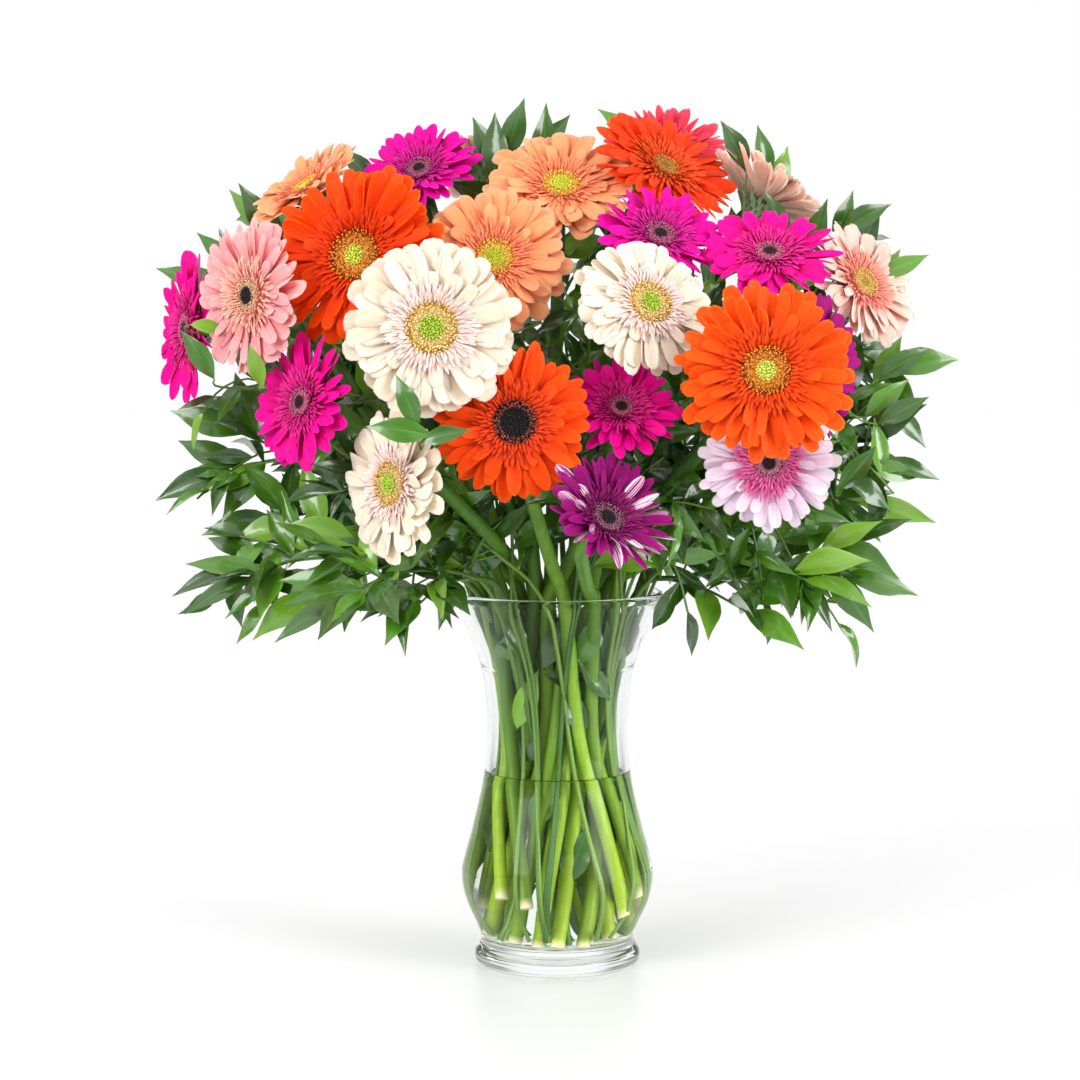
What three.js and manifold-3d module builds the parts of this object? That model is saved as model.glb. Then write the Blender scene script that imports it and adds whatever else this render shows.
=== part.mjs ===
// Gerberas in a clear glass vase. Twenty-four blooms on bare stems and ten leafy sprays
// stand in water, in a vase with a pinched neck and a thick foot. Millimetres, +Z up.
// The origin is the middle of the foot's flat underside, and the blooms face -Y.

import * as THREE from 'three';
import { mergeVertices } from 'three/addons/utils/BufferGeometryUtils.js';
import Module from 'manifold-3d';

const wasm = await Module();
wasm.setup();

// Vase and water: the wall, the top of its solid foot, the water's surface and the room
// left round what stands in it
const WALL = 4;
const FLOOR_Z = 15;
const NECK_Z = 147;
const MOUTH_Z = 226;
const WATER_Z = 118;
const VASE_SIDES = 20;
const GAP = 0.3;
const HOLE_CLEARANCE = 0.45;

// Heads of the blooms, with heights from the face of the disc: two rows of petals on a core
const CORE_SHARE = 0.27;
const CORE_BASE = -6.4;
const DISC_TOP = 1.4;
const PETAL_BULGE = 0.8;
const ROWS = [
  { under: -5.4, over: -3.6, shift: 0, reach: 1, lift: 0 },
  { under: -2.9, over: -1.1, shift: 0.5, reach: 0.82, lift: 9 },
];

// Stems of the blooms: the cup of bracts under the head is given as depths below the face
// of the disc and radii, and the bunch as two rings of stems, with radii where they are cut,
// in the neck and in the mouth, and the angle that they lean round the axis
const STEM_R = 4.1;
const STEM_SIDES = 5;
const STEM_SPACE = 1.7;
const CUP = [[34, STEM_R], [19, STEM_R], [14, 6.6], [10.4, 9.6], [6.7, 11]];
const RINGS = [
  { cut: 45, cutMore: 0, cutZ: 36, cutZMore: 16, neck: 31, mouth: 42, lean: 0.8, leanMore: 0.6 },
  { cut: 26, cutMore: 8, cutZ: 16.5, cutZMore: 4, neck: 14, mouth: 24, lean: -1.8, leanMore: -0.9 },
];

// Leafy sprays
const SPRAY_R = 2;
const SPRAY_TAPER = 0.16;
const SPRAY_SIDES = 4;
const SPRAY_CUT_Z = 16.5;
const TWIGS = 4;
const TWIG_R = 0.9;
const TWIG_SIDES = 3;
const TWIG_LONGEST = 95;
const LEAF_LENGTH = 49;
const LEAF_WIDTH = 17;
const LEAF_THICK = 1.4;
const LEAF_DROOP = 0.1;
const LEAF_STALK = 4;
const CLEAR = 0.6;

// Settling of the stems: rounds, how hard they straighten, and the room they keep
const ROUNDS = 260;
const STRAIGHTEN = 0.12;
const GLASS_ROOM = 1.4;
const PETAL_ROOM = 7;
const LEVEL_NODES = 4;

// The vase's outside, radius and height, from the foot's edge to the outside of the rim
const OUTLINE = [
  [46.5, 0], [50.6, 4.5], [50.6, 10.5], [46.7, 18.8], [57.0, 41.8], [58.9, 59.0], [52.6, 84.3],
  [45.5, 116.4], [43.1, 147], [45.6, 178], [51.9, 198.5], [64.4, 228.2],
];
const RIM_TOP = [62.4, 230.8];

// Each bloom: where its disc is, the way it faces as degrees to the right of the front and
// degrees up, its width, how far its petals lift into a cup, its petals in a row and colour
const BLOOMS = [
  { at: [-225, -4, 391], face: [-65, 5], across: 94, cup: 8, rays: 11, colour: 'hot_pink' },
  { at: [-180, -78, 411], face: [-45, 3], across: 91, cup: 6, rays: 11, colour: 'light_pink' },
  { at: [-152, 0, 477], face: [-60, 50], across: 78, cup: 14, rays: 10, colour: 'peach' },
  { at: [-117, -90, 434], face: [-20, 10], across: 108, cup: 4, rays: 12, colour: 'red_orange' },
  { at: [-71, -150, 393], face: [5, 5], across: 99, cup: 2, rays: 12, colour: 'ivory' },
  { at: [-85, 30, 489], face: [-15, 45], across: 75, cup: 14, rays: 10, colour: 'magenta' },
  { at: [-50, 90, 493], face: [180, 60], across: 70, cup: 10, rays: 10, colour: 'salmon' },
  { at: [2, 0, 478], face: [3, 48], across: 95, cup: 8, rays: 11, colour: 'peach' },
  { at: [-37, -85, 433], face: [5, 25], across: 90, cup: 6, rays: 11, colour: 'peach' },
  { at: [66, 20, 490], face: [35, 45], across: 98, cup: 6, rays: 11, colour: 'scarlet' },
  { at: [71, 80, 503], face: [10, 45], across: 80, cup: 12, rays: 10, colour: 'coral' },
  { at: [60, -50, 447], face: [18, 45], across: 80, cup: 12, rays: 10, colour: 'magenta' },
  { at: [124, -60, 436], face: [0, 52], across: 85, cup: 10, rays: 10, colour: 'hot_pink' },
  { at: [130, 50, 472], face: [110, 50], across: 82, cup: 20, rays: 10, colour: 'light_pink' },
  { at: [185, -10, 419], face: [43, 27], across: 84, cup: 6, rays: 10, colour: 'light_pink' },
  { at: [52, -110, 407], face: [25, 25], across: 88, cup: -4, rays: 11, colour: 'ivory' },
  { at: [116, -140, 369], face: [0, 10], across: 102, cup: 2, rays: 12, colour: 'orange' },
  { at: [150, -70, 371], face: [45, 5], across: 88, cup: 4, rays: 10, colour: 'purple' },
  { at: [36, -100, 347], face: [8, 40], across: 72, cup: 12, rays: 10, colour: 'hot_pink' },
  { at: [-25, -136, 340], face: [5, 5], across: 92, cup: 2, rays: 11, colour: 'orange' },
  { at: [27, -140, 286], face: [32, 38], across: 78, cup: 22, rays: 10, colour: 'purple' },
  { at: [120, -115, 316], face: [-5, -5], across: 80, cup: 4, rays: 10, colour: 'lilac' },
  { at: [-95, -135, 305], face: [-50, 3], across: 87, cup: 4, rays: 10, colour: 'ivory' },
  { at: [-148, -100, 350], face: [-45, 12], across: 81, cup: 8, rays: 10, colour: 'hot_pink' },
];

// Each spray: where it leaves the vase's mouth, where it bends, its tip, and the way its
// leaves face
const SPRAYS = [
  { name: 'left_high', mouth: [-46, 6, 230], bend: [-120, 20, 300],
    tip: [-194, 20, 326], face: [-0.3, -1, 0.5] },
  { name: 'left_low', mouth: [-48, -14, 230], bend: [-110, -30, 268],
    tip: [-188, -30, 246], face: [-0.2, -1, 0.9] },
  { name: 'front_left', mouth: [-32, -38, 230], bend: [-70, -80, 268],
    tip: [-124, -104, 238], face: [-0.2, -1, 0.9] },
  { name: 'right_low', mouth: [48, -14, 230], bend: [100, -40, 258],
    tip: [170, -40, 244], face: [0.2, -1, 0.9] },
  { name: 'right_mid', mouth: [49, 4, 230], bend: [130, 10, 290],
    tip: [182, -6, 322], face: [0.3, -1, 0.5] },
  { name: 'right_high', mouth: [38, 28, 230], bend: [130, 60, 330],
    tip: [178, 30, 424], face: [0.3, -1, 0.4] },
  { name: 'top', mouth: [4, 44, 230], bend: [-10, 62, 400],
    tip: [-8, 46, 482], face: [0, -1, 0.2] },
  { name: 'top_left', mouth: [-34, 32, 230], bend: [-120, 70, 330],
    tip: [-168, 30, 442], face: [-0.2, -1, 0.3] },
  { name: 'back_left', mouth: [-22, 44, 230], bend: [-70, 110, 300],
    tip: [-112, 126, 344], face: [-0.4, 1, 0.6] },
  { name: 'back_right', mouth: [26, 44, 230], bend: [70, 110, 300],
    tip: [112, 126, 356], face: [0.4, 1, 0.6] },
];

const PETALS = {
  orange: 0xff5212, red_orange: 0xff4600, scarlet: 0xee3410, coral: 0xe8344a, hot_pink: 0xe0008a,
  magenta: 0xcc0096, purple: 0x8e1490, light_pink: 0xf8bab2, salmon: 0xf0a090, peach: 0xf8ac80,
  ivory: 0xfbf5e4, lilac: 0xf2cde6,
};

const V = (x, y, z) => new THREE.Vector3(x, y, z);
const TURN = Math.PI * 2;
const radians = THREE.MathUtils.degToRad;

// A spread of values from 0 to 1 that never repeats, the same on every run
const vary = (item, kind) => (item * 0.618034 + kind * 0.754878) % 1;

function body(points, faces) {
  const geometry = new THREE.BufferGeometry();
  const numbers = points.flatMap((point) => point.toArray());
  geometry.setAttribute('position', new THREE.Float32BufferAttribute(numbers, 3));
  geometry.setIndex(faces.flat());
  return geometry;
}

function solidOf(geometry) {
  const bare = geometry.clone();
  bare.deleteAttribute('normal');
  bare.deleteAttribute('uv');
  const merged = mergeVertices(bare, 1e-4);
  return new wasm.Manifold(new wasm.Mesh({
    numProp: 3,
    vertProperties: merged.attributes.position.array,
    triVerts: Uint32Array.from(merged.index.array),
  }));
}

function geometryOf(solid) {
  const mesh = solid.getMesh();
  const geometry = new THREE.BufferGeometry();
  geometry.setAttribute('position', new THREE.Float32BufferAttribute(mesh.vertProperties, 3));
  geometry.setIndex(Array.from(mesh.triVerts));
  return geometry;
}

// The largest body of a solid: scraps that a cut leaves loose are dropped
function largest(solid) {
  return solid.decompose().reduce((best, part) => (part.volume() > best.volume() ? part : best));
}

// A closed tube through its nodes, with a radius at each
function tube(nodes, radii, sides) {
  const points = [];
  const faces = [];
  const normal = V(0.2, 1, 0);
  nodes.forEach((node, i) => {
    const tangent = nodes[Math.min(i + 1, nodes.length - 1)].clone();
    tangent.sub(nodes[Math.max(i - 1, 0)]).normalize();
    normal.addScaledVector(tangent, -normal.dot(tangent)).normalize();
    const across = tangent.clone().cross(normal);
    for (let k = 0; k < sides; k++) {
      const angle = TURN * k / sides;
      const point = node.clone().addScaledVector(normal, radii[i] * Math.cos(angle));
      points.push(point.addScaledVector(across, radii[i] * Math.sin(angle)));
    }
  });
  for (let i = 0; i < nodes.length - 1; i++) {
    for (let k = 0; k < sides; k++) {
      const a = i * sides + k;
      const b = i * sides + (k + 1) % sides;
      faces.push([a, b, b + sides], [a, b + sides, a + sides]);
    }
  }
  const last = points.length - sides;
  for (let k = 1; k < sides - 1; k++) {
    faces.push([0, k + 1, k], [last, last + k, last + k + 1]);
  }
  return body(points, faces);
}

// Radius of an outline at a height, straight between its points
function radiusAt(outline, z) {
  const above = Math.max(1, outline.findIndex(([, height]) => height >= z));
  const [[r0, z0], [r1, z1]] = [outline[above - 1], outline[above]];
  return r0 + (r1 - r0) * (z - z0) / (z1 - z0);
}

// Vase: the outline turned round the axis, with the wall's thickness taken off inside
const insideOutline = [
  [40, FLOOR_Z],
  ...OUTLINE.filter(([, z]) => z > 30).map(([r, z]) => [r - WALL, z]),
];

function lathe(outline) {
  const points = outline.map(([r, z]) => new THREE.Vector2(r, z));
  return new THREE.LatheGeometry(points, VASE_SIDES).rotateX(Math.PI / 2);
}

function vaseGeometry() {
  return lathe([[0, 0], ...OUTLINE, RIM_TOP, ...insideOutline.toReversed(), [0, FLOOR_Z]]);
}

// Bloom: a low core with two rows of petals, lying in its own frame and facing +Z. A petal
// grows from one side of the core: its outline is shared by its two faces, which bulge apart
function bloomGeometry({ across, cup, rays }, number) {
  const core = CORE_SHARE * across / 2;
  const step = TURN / rays;
  const points = [V(0, 0, CORE_BASE)];
  const faces = [];

  const place = (angle, out, side, height) => {
    const [c, s] = [Math.cos(angle), Math.sin(angle)];
    points.push(V(out * c - side * s, out * s + side * c, height));
    return points.length - 1;
  };

  const ring = (height, shift) => {
    const first = points.length;
    for (let k = 0; k < rays; k++) {
      place((k + shift) * step, core, 0, height);
    }
    return (k) => first + (k % rays);
  };

  const petals = (under, over, { shift, reach, lift, ...row }) => {
    const level = (row.under + row.over) / 2;
    for (let k = 0; k < rays; k++) {
      const seed = number * 31 + k * 2 + shift;
      const far = reach * across / 2 * (0.94 + 0.08 * vary(seed, 1));
      const slope = Math.tan(radians(cup + lift + 5 * (vary(seed, 2) - 0.5)));
      const angle = (k + 0.5 + shift) * step + 0.05 * (vary(seed, 3) - 0.5);
      const height = (out) => level + slope * (out - core) - 0.05 * far * (out / far) ** 4;
      const wide = 0.85 * far;
      const half = 0.74 * wide * Math.tan(step / 2);
      const right = place(angle, wide, -half, height(wide));
      const tip = place(angle, far, 0, height(far));
      const left = place(angle, wide, half, height(wide));
      const middle = 0.55 * far;
      const top = place(angle, middle, 0, height(middle) + PETAL_BULGE);
      const bottom = place(angle, middle, 0, height(middle) - PETAL_BULGE);
      const upper = [over(k), right, tip, left, over(k + 1)];
      const lower = [under(k), right, tip, left, under(k + 1)];
      upper.forEach((point, i) => {
        const next = (i + 1) % upper.length;
        faces.push([top, point, upper[next]], [bottom, lower[next], lower[i]]);
      });
      faces.push([under(k), right, over(k)], [under(k + 1), over(k + 1), left]);
    }
  };

  const [outer, inner] = ROWS;
  const outerUnder = ring(outer.under, outer.shift);
  const outerOver = ring(outer.over, outer.shift);
  const innerUnder = ring(inner.under, inner.shift);
  const innerOver = ring(inner.over, inner.shift);
  petals(outerUnder, outerOver, outer);
  petals(innerUnder, innerOver, inner);
  const disc = place(0, 0, 0, DISC_TOP);
  for (let k = 0; k < rays; k++) {
    faces.push([0, outerUnder(k + 1), outerUnder(k)]);
    faces.push([outerOver(k), outerOver(k + 1), innerUnder(k)]);
    faces.push([outerOver(k + 1), innerUnder(k + 1), innerUnder(k)]);
    faces.push([innerOver(k), innerOver(k + 1), disc]);
  }
  return body(points, faces);
}

function facing([right, up]) {
  const level = Math.cos(radians(up));
  return V(Math.sin(radians(right)) * level, -Math.cos(radians(right)) * level, Math.sin(radians(up)));
}

const blooms = BLOOMS.map((bloom, number) => {
  const centre = V(...bloom.at);
  const axis = facing(bloom.face);
  const turn = new THREE.Quaternion().setFromUnitVectors(V(0, 0, 1), axis);
  const geometry = bloomGeometry(bloom, number);
  const placed = geometry.clone().applyQuaternion(turn).translate(...bloom.at);
  return { ...bloom, centre, axis, turn, geometry, solid: solidOf(placed) };
});

// Routes of the stems. A route holds its nodes, its radii and how many nodes at its top are
// held where they are. Its first nodes, up to the vase's mouth, keep their heights. The
// blooms are taken in turn round the bunch, so that neighbours are neighbours in the neck
function bloomRoutes() {
  const order = blooms.map((bloom, number) => number);
  const backOfBunch = 40;
  const around = (number) => Math.atan2(blooms[number].centre.x, blooms[number].centre.y - backOfBunch);
  order.sort((a, b) => around(a) - around(b));
  return order.map((number, place) => {
    const { centre, axis } = blooms[number];
    const ring = RINGS[place % 2];
    const angle = -Math.PI / 2 - TURN * (place + 0.5) / order.length;
    const lean = ring.lean + ring.leanMore * vary(place, 6);
    const low = angle + (place % 6 === 2 ? -lean : lean);
    const at = (radius, turned, z) => V(radius * Math.cos(turned), radius * Math.sin(turned), z);
    const cut = at(ring.cut + ring.cutMore * vary(place, 7), low, ring.cutZ + ring.cutZMore * vary(place, 4));
    const neck = at(ring.neck, angle, NECK_Z);
    const mouth = at(ring.mouth, angle, MOUTH_Z);
    const cupFoot = centre.clone().addScaledVector(axis, -CUP[0][0]);
    const pull = 0.4 * mouth.distanceTo(cupFoot);
    const rise = mouth.clone().sub(neck).setLength(pull).add(mouth);
    const meet = cupFoot.clone().addScaledVector(axis, -Math.min(pull, 60));
    const arch = new THREE.CubicBezierCurve3(mouth, rise, meet, cupFoot);
    const nodes = [cut, cut.clone().lerp(neck, 0.5), neck, ...arch.getPoints(5)];
    const radii = nodes.map(() => STEM_R);
    for (const [under, radius] of CUP.slice(1)) {
      nodes.push(centre.clone().addScaledVector(axis, -under));
      radii.push(radius);
    }
    return { number, nodes, radii, held: CUP.length };
  });
}

function sprayCurve({ mouth, bend, tip }) {
  return new THREE.QuadraticBezierCurve3(V(...mouth), V(...bend), V(...tip));
}

function sprayRoutes() {
  return SPRAYS.map((spray, place) => {
    const above = sprayCurve(spray).getPoints(4);
    const [mouth] = above;
    const neck = V(mouth.x * 0.55, mouth.y * 0.55, NECK_Z);
    const cut = V(-mouth.x * 0.5, -mouth.y * 0.5, SPRAY_CUT_Z + 4 * vary(place, 5));
    const nodes = [cut, cut.clone().lerp(neck, 0.5), neck, ...above];
    const radii = nodes.map((node, i) => SPRAY_R - SPRAY_TAPER * Math.max(0, i - 2));
    return { spray, nodes, radii, held: above.length };
  });
}

// Nearest points of two straight stretches, as shares of their lengths
function nearest(a, b, c, d) {
  const u = b.clone().sub(a);
  const v = d.clone().sub(c);
  const w = a.clone().sub(c);
  const [uu, uv, vv, uw, vw] = [u.dot(u), u.dot(v), v.dot(v), u.dot(w), v.dot(w)];
  const spread = uu * vv - uv * uv;
  const clamp = (value) => Math.min(1, Math.max(0, value));
  let s = spread > 1e-6 ? clamp((uv * vw - vv * uw) / spread) : 0;
  const t = clamp((uv * s + vw) / vv);
  s = clamp((uv * t - uw) / uu);
  return [s, t];
}

// Moves a stretch's two nodes so that its point at a share moves by a push
function nudge(route, i, share, push) {
  const free = route.nodes.length - route.held;
  const weights = [i < free ? 1 - share : 0, i + 1 < free ? share : 0];
  const total = weights[0] ** 2 + weights[1] ** 2;
  if (total < 0.02) {
    return;
  }
  weights.forEach((weight, k) => {
    const move = push.clone().multiplyScalar(weight / total);
    if (i + k < LEVEL_NODES) {
      move.z = 0;
    }
    route.nodes[i + k].add(move);
  });
}

// Pushes two routes apart wherever they are nearer than their radii and a space
function partRoutes(one, other) {
  for (let i = 0; i < one.nodes.length - 1; i++) {
    for (let k = 0; k < other.nodes.length - 1; k++) {
      const [a, b, c, d] = [one.nodes[i], one.nodes[i + 1], other.nodes[k], other.nodes[k + 1]];
      const radii = Math.max(one.radii[i], one.radii[i + 1]) + Math.max(other.radii[k], other.radii[k + 1]);
      const room = radii + STEM_SPACE;
      const apart = ['x', 'y', 'z'].some((axis) => (
        Math.min(a[axis], b[axis]) - Math.max(c[axis], d[axis]) > room
        || Math.min(c[axis], d[axis]) - Math.max(a[axis], b[axis]) > room));
      if (apart) {
        continue;
      }
      const [s, t] = nearest(a, b, c, d);
      const away = a.clone().lerp(b, s).sub(c.clone().lerp(d, t));
      const distance = away.length();
      if (distance < room) {
        away.setLength((room - distance) * 0.5);
        nudge(one, i, s, away);
        nudge(other, k, t, away.negate());
      }
    }
  }
}

// Keeps a route inside the glass and clear of the petals
function keepClear(route) {
  for (let i = 0; i < route.nodes.length - route.held; i++) {
    for (const share of [0, 0.25, 0.5, 0.75]) {
      const point = route.nodes[i].clone().lerp(route.nodes[i + 1], share);
      if (point.z < RIM_TOP[1]) {
        const level = THREE.MathUtils.clamp(point.z, FLOOR_Z, OUTLINE.at(-1)[1]);
        const flat = radiusAt(insideOutline, level) * Math.cos(Math.PI / VASE_SIDES);
        const room = flat - route.radii[i] - GLASS_ROOM;
        const out = Math.hypot(point.x, point.y);
        if (out > room) {
          nudge(route, i, share, V(point.x, point.y, 0).setLength(room - out));
        }
      }
      for (const [number, bloom] of blooms.entries()) {
        const reach = bloom.across / 2;
        const offset = point.clone().sub(bloom.centre);
        const height = offset.dot(bloom.axis);
        const out = Math.sqrt(Math.max(0, offset.lengthSq() - height ** 2));
        const slope = Math.tan(radians(bloom.cup + ROWS[1].lift / 2));
        const sheet = ROWS[1].under + slope * Math.max(0, out - CORE_SHARE * reach);
        const room = route.radii[i] + PETAL_ROOM;
        const gap = height - sheet;
        if (out < reach + route.radii[i] + 1 && Math.abs(gap) < room) {
          const side = number === route.number || gap < 0 ? -1 : 1;
          nudge(route, i, share, bloom.axis.clone().multiplyScalar((side * room - gap) * 0.5));
        }
      }
    }
  }
}

// Draws each free node towards the middle of its neighbours
function straighten(route, strength) {
  for (let i = 1; i < route.nodes.length - route.held; i++) {
    const middle = route.nodes[i - 1].clone().lerp(route.nodes[i + 1], 0.5);
    middle.z = i < LEVEL_NODES ? route.nodes[i].z : middle.z;
    route.nodes[i].lerp(middle, strength);
  }
}

function settle(routes) {
  for (let round = 0; round < ROUNDS; round++) {
    const strength = STRAIGHTEN * (1 - round / ROUNDS);
    for (const route of routes) {
      straighten(route, strength);
    }
    for (let i = 0; i < routes.length; i++) {
      for (let k = i + 1; k < routes.length; k++) {
        partRoutes(routes[i], routes[k]);
      }
      keepClear(routes[i]);
    }
  }
}

const stems = bloomRoutes();
const leafStems = sprayRoutes();
settle([...stems, ...leafStems]);

// Leaf: pointed at both ends and a little arched, its two faces sharing an outline
function leafGeometry(base, along, face) {
  const up = face.clone().addScaledVector(along, -face.dot(along)).normalize();
  const side = up.clone().cross(along);
  const at = (share, width, lift) => base.clone()
    .addScaledVector(along, share * LEAF_LENGTH)
    .addScaledVector(side, width * LEAF_WIDTH / 2)
    .addScaledVector(up, lift - LEAF_DROOP * LEAF_LENGTH * share ** 2);
  const outline = [
    at(0, 0, 0), at(0.33, -0.9, 1), at(0.66, -0.8, 1), at(1, 0, 0), at(0.66, 0.8, 1), at(0.33, 0.9, 1),
  ];
  const points = [...outline, at(0.48, 0, LEAF_THICK / 2), at(0.48, 0, -LEAF_THICK / 2)];
  const top = outline.length;
  const faces = outline.flatMap((point, i) => {
    const next = (i + 1) % outline.length;
    return [[top, i, next], [top + 1, next, i]];
  });
  return body(points, faces);
}

// A direction swung from a stem's own towards a side, and lifted out of the spray's plane
function swung(tangent, face, swing, lift) {
  const up = face.clone().addScaledVector(tangent, -face.dot(tangent)).normalize();
  const side = tangent.clone().cross(up);
  return tangent.clone().multiplyScalar(Math.cos(radians(swing)))
    .addScaledVector(side, Math.sin(radians(swing)))
    .addScaledVector(up, Math.tan(radians(lift)))
    .normalize();
}

function isClear(solid, others) {
  const box = solid.boundingBox();
  return others.every((other) => {
    const far = [0, 1, 2].some((k) => (
      other.box.min[k] > box.max[k] + CLEAR || other.box.max[k] < box.min[k] - CLEAR));
    return far || solid.minGap(other.solid, 2 * CLEAR) > CLEAR;
  });
}

const obstacle = (solid) => ({ solid, box: solid.boundingBox() });

// Ways of placing a twig or leaf, as degrees of swing from the stem and of lift. They are
// tried in turn, and the first that is clear of everything else is kept
const TWIG_WAYS = [[40, 0], [28, 15], [52, -15], [34, -30], [46, 30]];
const LEAF_WAYS = [[46, 0], [30, 18], [60, -18], [38, -36], [52, 36], [70, 10]];
const TIP_WAYS = [[0, 0], [14, 10], [-14, -10], [22, -20], [-22, 20]];

function firstClear(ways, make, others) {
  for (const [swing, lift] of ways) {
    const made = make(swing, lift);
    if (isClear(made.solid, others)) {
      return made;
    }
  }
  return null;
}

// A spray: its main stem, twigs that leave it to one side and the other in turn, three
// leaves on each twig and two at the stem's own end
function spraySolid({ spray, nodes, radii }, others) {
  const curve = sprayCurve(spray);
  const face = V(...spray.face).normalize();
  const placed = [];
  let solid = solidOf(tube(nodes, radii, SPRAY_SIDES));

  const addLeaf = (base, tangent, side, ways) => {
    const leaf = firstClear(ways, (swing, lift) => {
      const along = swung(tangent, face, swing * side, lift);
      const blade = solidOf(leafGeometry(base, along, face));
      const far = base.clone().addScaledVector(along, LEAF_STALK);
      return { blade, solid: solidOf(leafGeometry(far, along, face)) };
    }, [...others, ...placed]);
    if (leaf) {
      placed.push(obstacle(leaf.solid));
      solid = solid.add(leaf.blade);
    }
  };

  for (let number = 0; number < TWIGS; number++) {
    const share = 0.2 + 0.19 * number;
    const side = number % 2 === 0 ? 1 : -1;
    const base = curve.getPoint(share);
    const tangent = curve.getTangent(share);
    const length = Math.min(TWIG_LONGEST, (0.46 - 0.07 * number) * curve.getLength());
    const twig = firstClear(TWIG_WAYS, (swing, lift) => {
      const along = swung(tangent, face, swing * side, lift);
      const end = base.clone().addScaledVector(along, length);
      const middle = base.clone().lerp(end, 0.5);
      middle.z += 0.05 * length;
      const round = tube([base, middle, end], [TWIG_R, TWIG_R, 0.7 * TWIG_R], TWIG_SIDES);
      return { solid: solidOf(round), middle, end };
    }, [...others, ...placed]);
    if (!twig) {
      continue;
    }
    solid = solid.add(twig.solid);
    const first = twig.middle.clone().sub(base).normalize();
    const second = twig.end.clone().sub(twig.middle).normalize();
    addLeaf(base.clone().lerp(twig.middle, 0.9), first, side, LEAF_WAYS);
    addLeaf(twig.middle.clone().lerp(twig.end, 0.5), second, -side, LEAF_WAYS);
    addLeaf(twig.end.clone().addScaledVector(second, -1), second, 1, TIP_WAYS);
  }
  addLeaf(curve.getPoint(0.92), curve.getTangent(0.92), 1, LEAF_WAYS);
  addLeaf(curve.getPoint(0.995), curve.getTangent(1), 1, TIP_WAYS);
  return largest(solid);
}

// The whole arrangement
const arrangement = new THREE.Group();

function addMesh(name, geometry, colour, roughness, extra = {}) {
  const material = new THREE.MeshStandardMaterial({ color: colour, roughness, flatShading: true, ...extra });
  const mesh = new THREE.Mesh(geometry, material);
  mesh.name = name;
  arrangement.add(mesh);
  return mesh;
}

const twoDigits = (number) => String(number + 1).padStart(2, '0');

addMesh('vase', vaseGeometry(), 0xeef6f2, 0.03, { transparent: true, opacity: 0.3 });

for (const [number, bloom] of blooms.entries()) {
  const mesh = addMesh(`bloom_${twoDigits(number)}`, bloom.geometry, PETALS[bloom.colour], 0.6);
  mesh.position.copy(bloom.centre);
  mesh.quaternion.copy(bloom.turn);
}

const stemSolids = [];
for (const { number, nodes, radii } of stems) {
  const geometry = tube(nodes, radii, STEM_SIDES);
  stemSolids.push(obstacle(solidOf(geometry)));
  addMesh(`stem_${twoDigits(number)}`, geometry, 0x86b83a, 0.5);
}

// Each spray keeps clear of the vase, the blooms, their stems, the sprays before it and the
// main stems of those after it
const others = [solidOf(vaseGeometry()), ...blooms.map(({ solid }) => solid)].map(obstacle);
others.push(...stemSolids);
const mainStems = leafStems.map(({ nodes, radii }) => obstacle(solidOf(tube(nodes, radii, SPRAY_SIDES))));
leafStems.forEach((route, number) => {
  const solid = spraySolid(route, [...others, ...mainStems.filter((stem, i) => i > number)]);
  others.push(obstacle(solid));
  addMesh(`spray_${route.spray.name}`, geometryOf(solid), 0x2a6a1e, 0.35);
});

// Water: it fills the vase to its surface, with a plain hole round each stem
function waterGeometry() {
  const base = FLOOR_Z + GAP;
  const walls = insideOutline.filter(([, z]) => z < WATER_Z).map(([r, z]) => [r - GAP, Math.max(z, base)]);
  const top = [radiusAt(insideOutline, WATER_Z) - GAP, WATER_Z];
  let water = solidOf(lathe([[0, base], ...walls, top, [0, WATER_Z]]));
  for (const { nodes, radii, spray } of [...stems, ...leafStems]) {
    const low = nodes[0].clone().sub(nodes[1]).setLength(HOLE_CLEARANCE).add(nodes[0]);
    const wider = radii.slice(0, LEVEL_NODES).map((radius) => radius + HOLE_CLEARANCE);
    const hole = tube([low, ...nodes.slice(1, LEVEL_NODES)], wider, spray ? SPRAY_SIDES : STEM_SIDES);
    water = water.subtract(solidOf(hole));
  }
  return geometryOf(largest(water));
}

addMesh('water', waterGeometry(), 0xf2faf6, 0.02, { transparent: true, opacity: 0.2 });

export default arrangement;
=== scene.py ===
# %% [markdown]
# # Gerberas in a clear glass vase
# Twenty-four gerberas and ten sprays of glossy foliage stand in a footed glass vase that is
# half full of water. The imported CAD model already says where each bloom, stem and spray is.
# This lesson grows a finer copy of each one in the same place: petals, florets, bracts and
# leaves are modelled once and then set out by Geometry Nodes, as a plant sets them out.

# %% Tools and the frame
import math

import bmesh
import bpy
import numpy as np
from mathutils import Matrix, Vector


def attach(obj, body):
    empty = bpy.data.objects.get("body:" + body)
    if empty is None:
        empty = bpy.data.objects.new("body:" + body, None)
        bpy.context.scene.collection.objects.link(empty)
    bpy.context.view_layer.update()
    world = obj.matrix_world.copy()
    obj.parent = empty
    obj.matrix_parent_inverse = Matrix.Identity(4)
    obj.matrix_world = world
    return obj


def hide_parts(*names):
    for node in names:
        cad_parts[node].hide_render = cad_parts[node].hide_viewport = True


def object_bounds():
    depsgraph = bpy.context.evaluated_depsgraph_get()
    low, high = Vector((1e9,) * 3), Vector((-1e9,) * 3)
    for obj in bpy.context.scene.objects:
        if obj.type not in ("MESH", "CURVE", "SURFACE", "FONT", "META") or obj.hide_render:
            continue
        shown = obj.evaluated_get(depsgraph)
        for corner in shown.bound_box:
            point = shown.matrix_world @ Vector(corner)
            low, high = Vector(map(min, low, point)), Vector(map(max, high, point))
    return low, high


MM = 0.001
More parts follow.
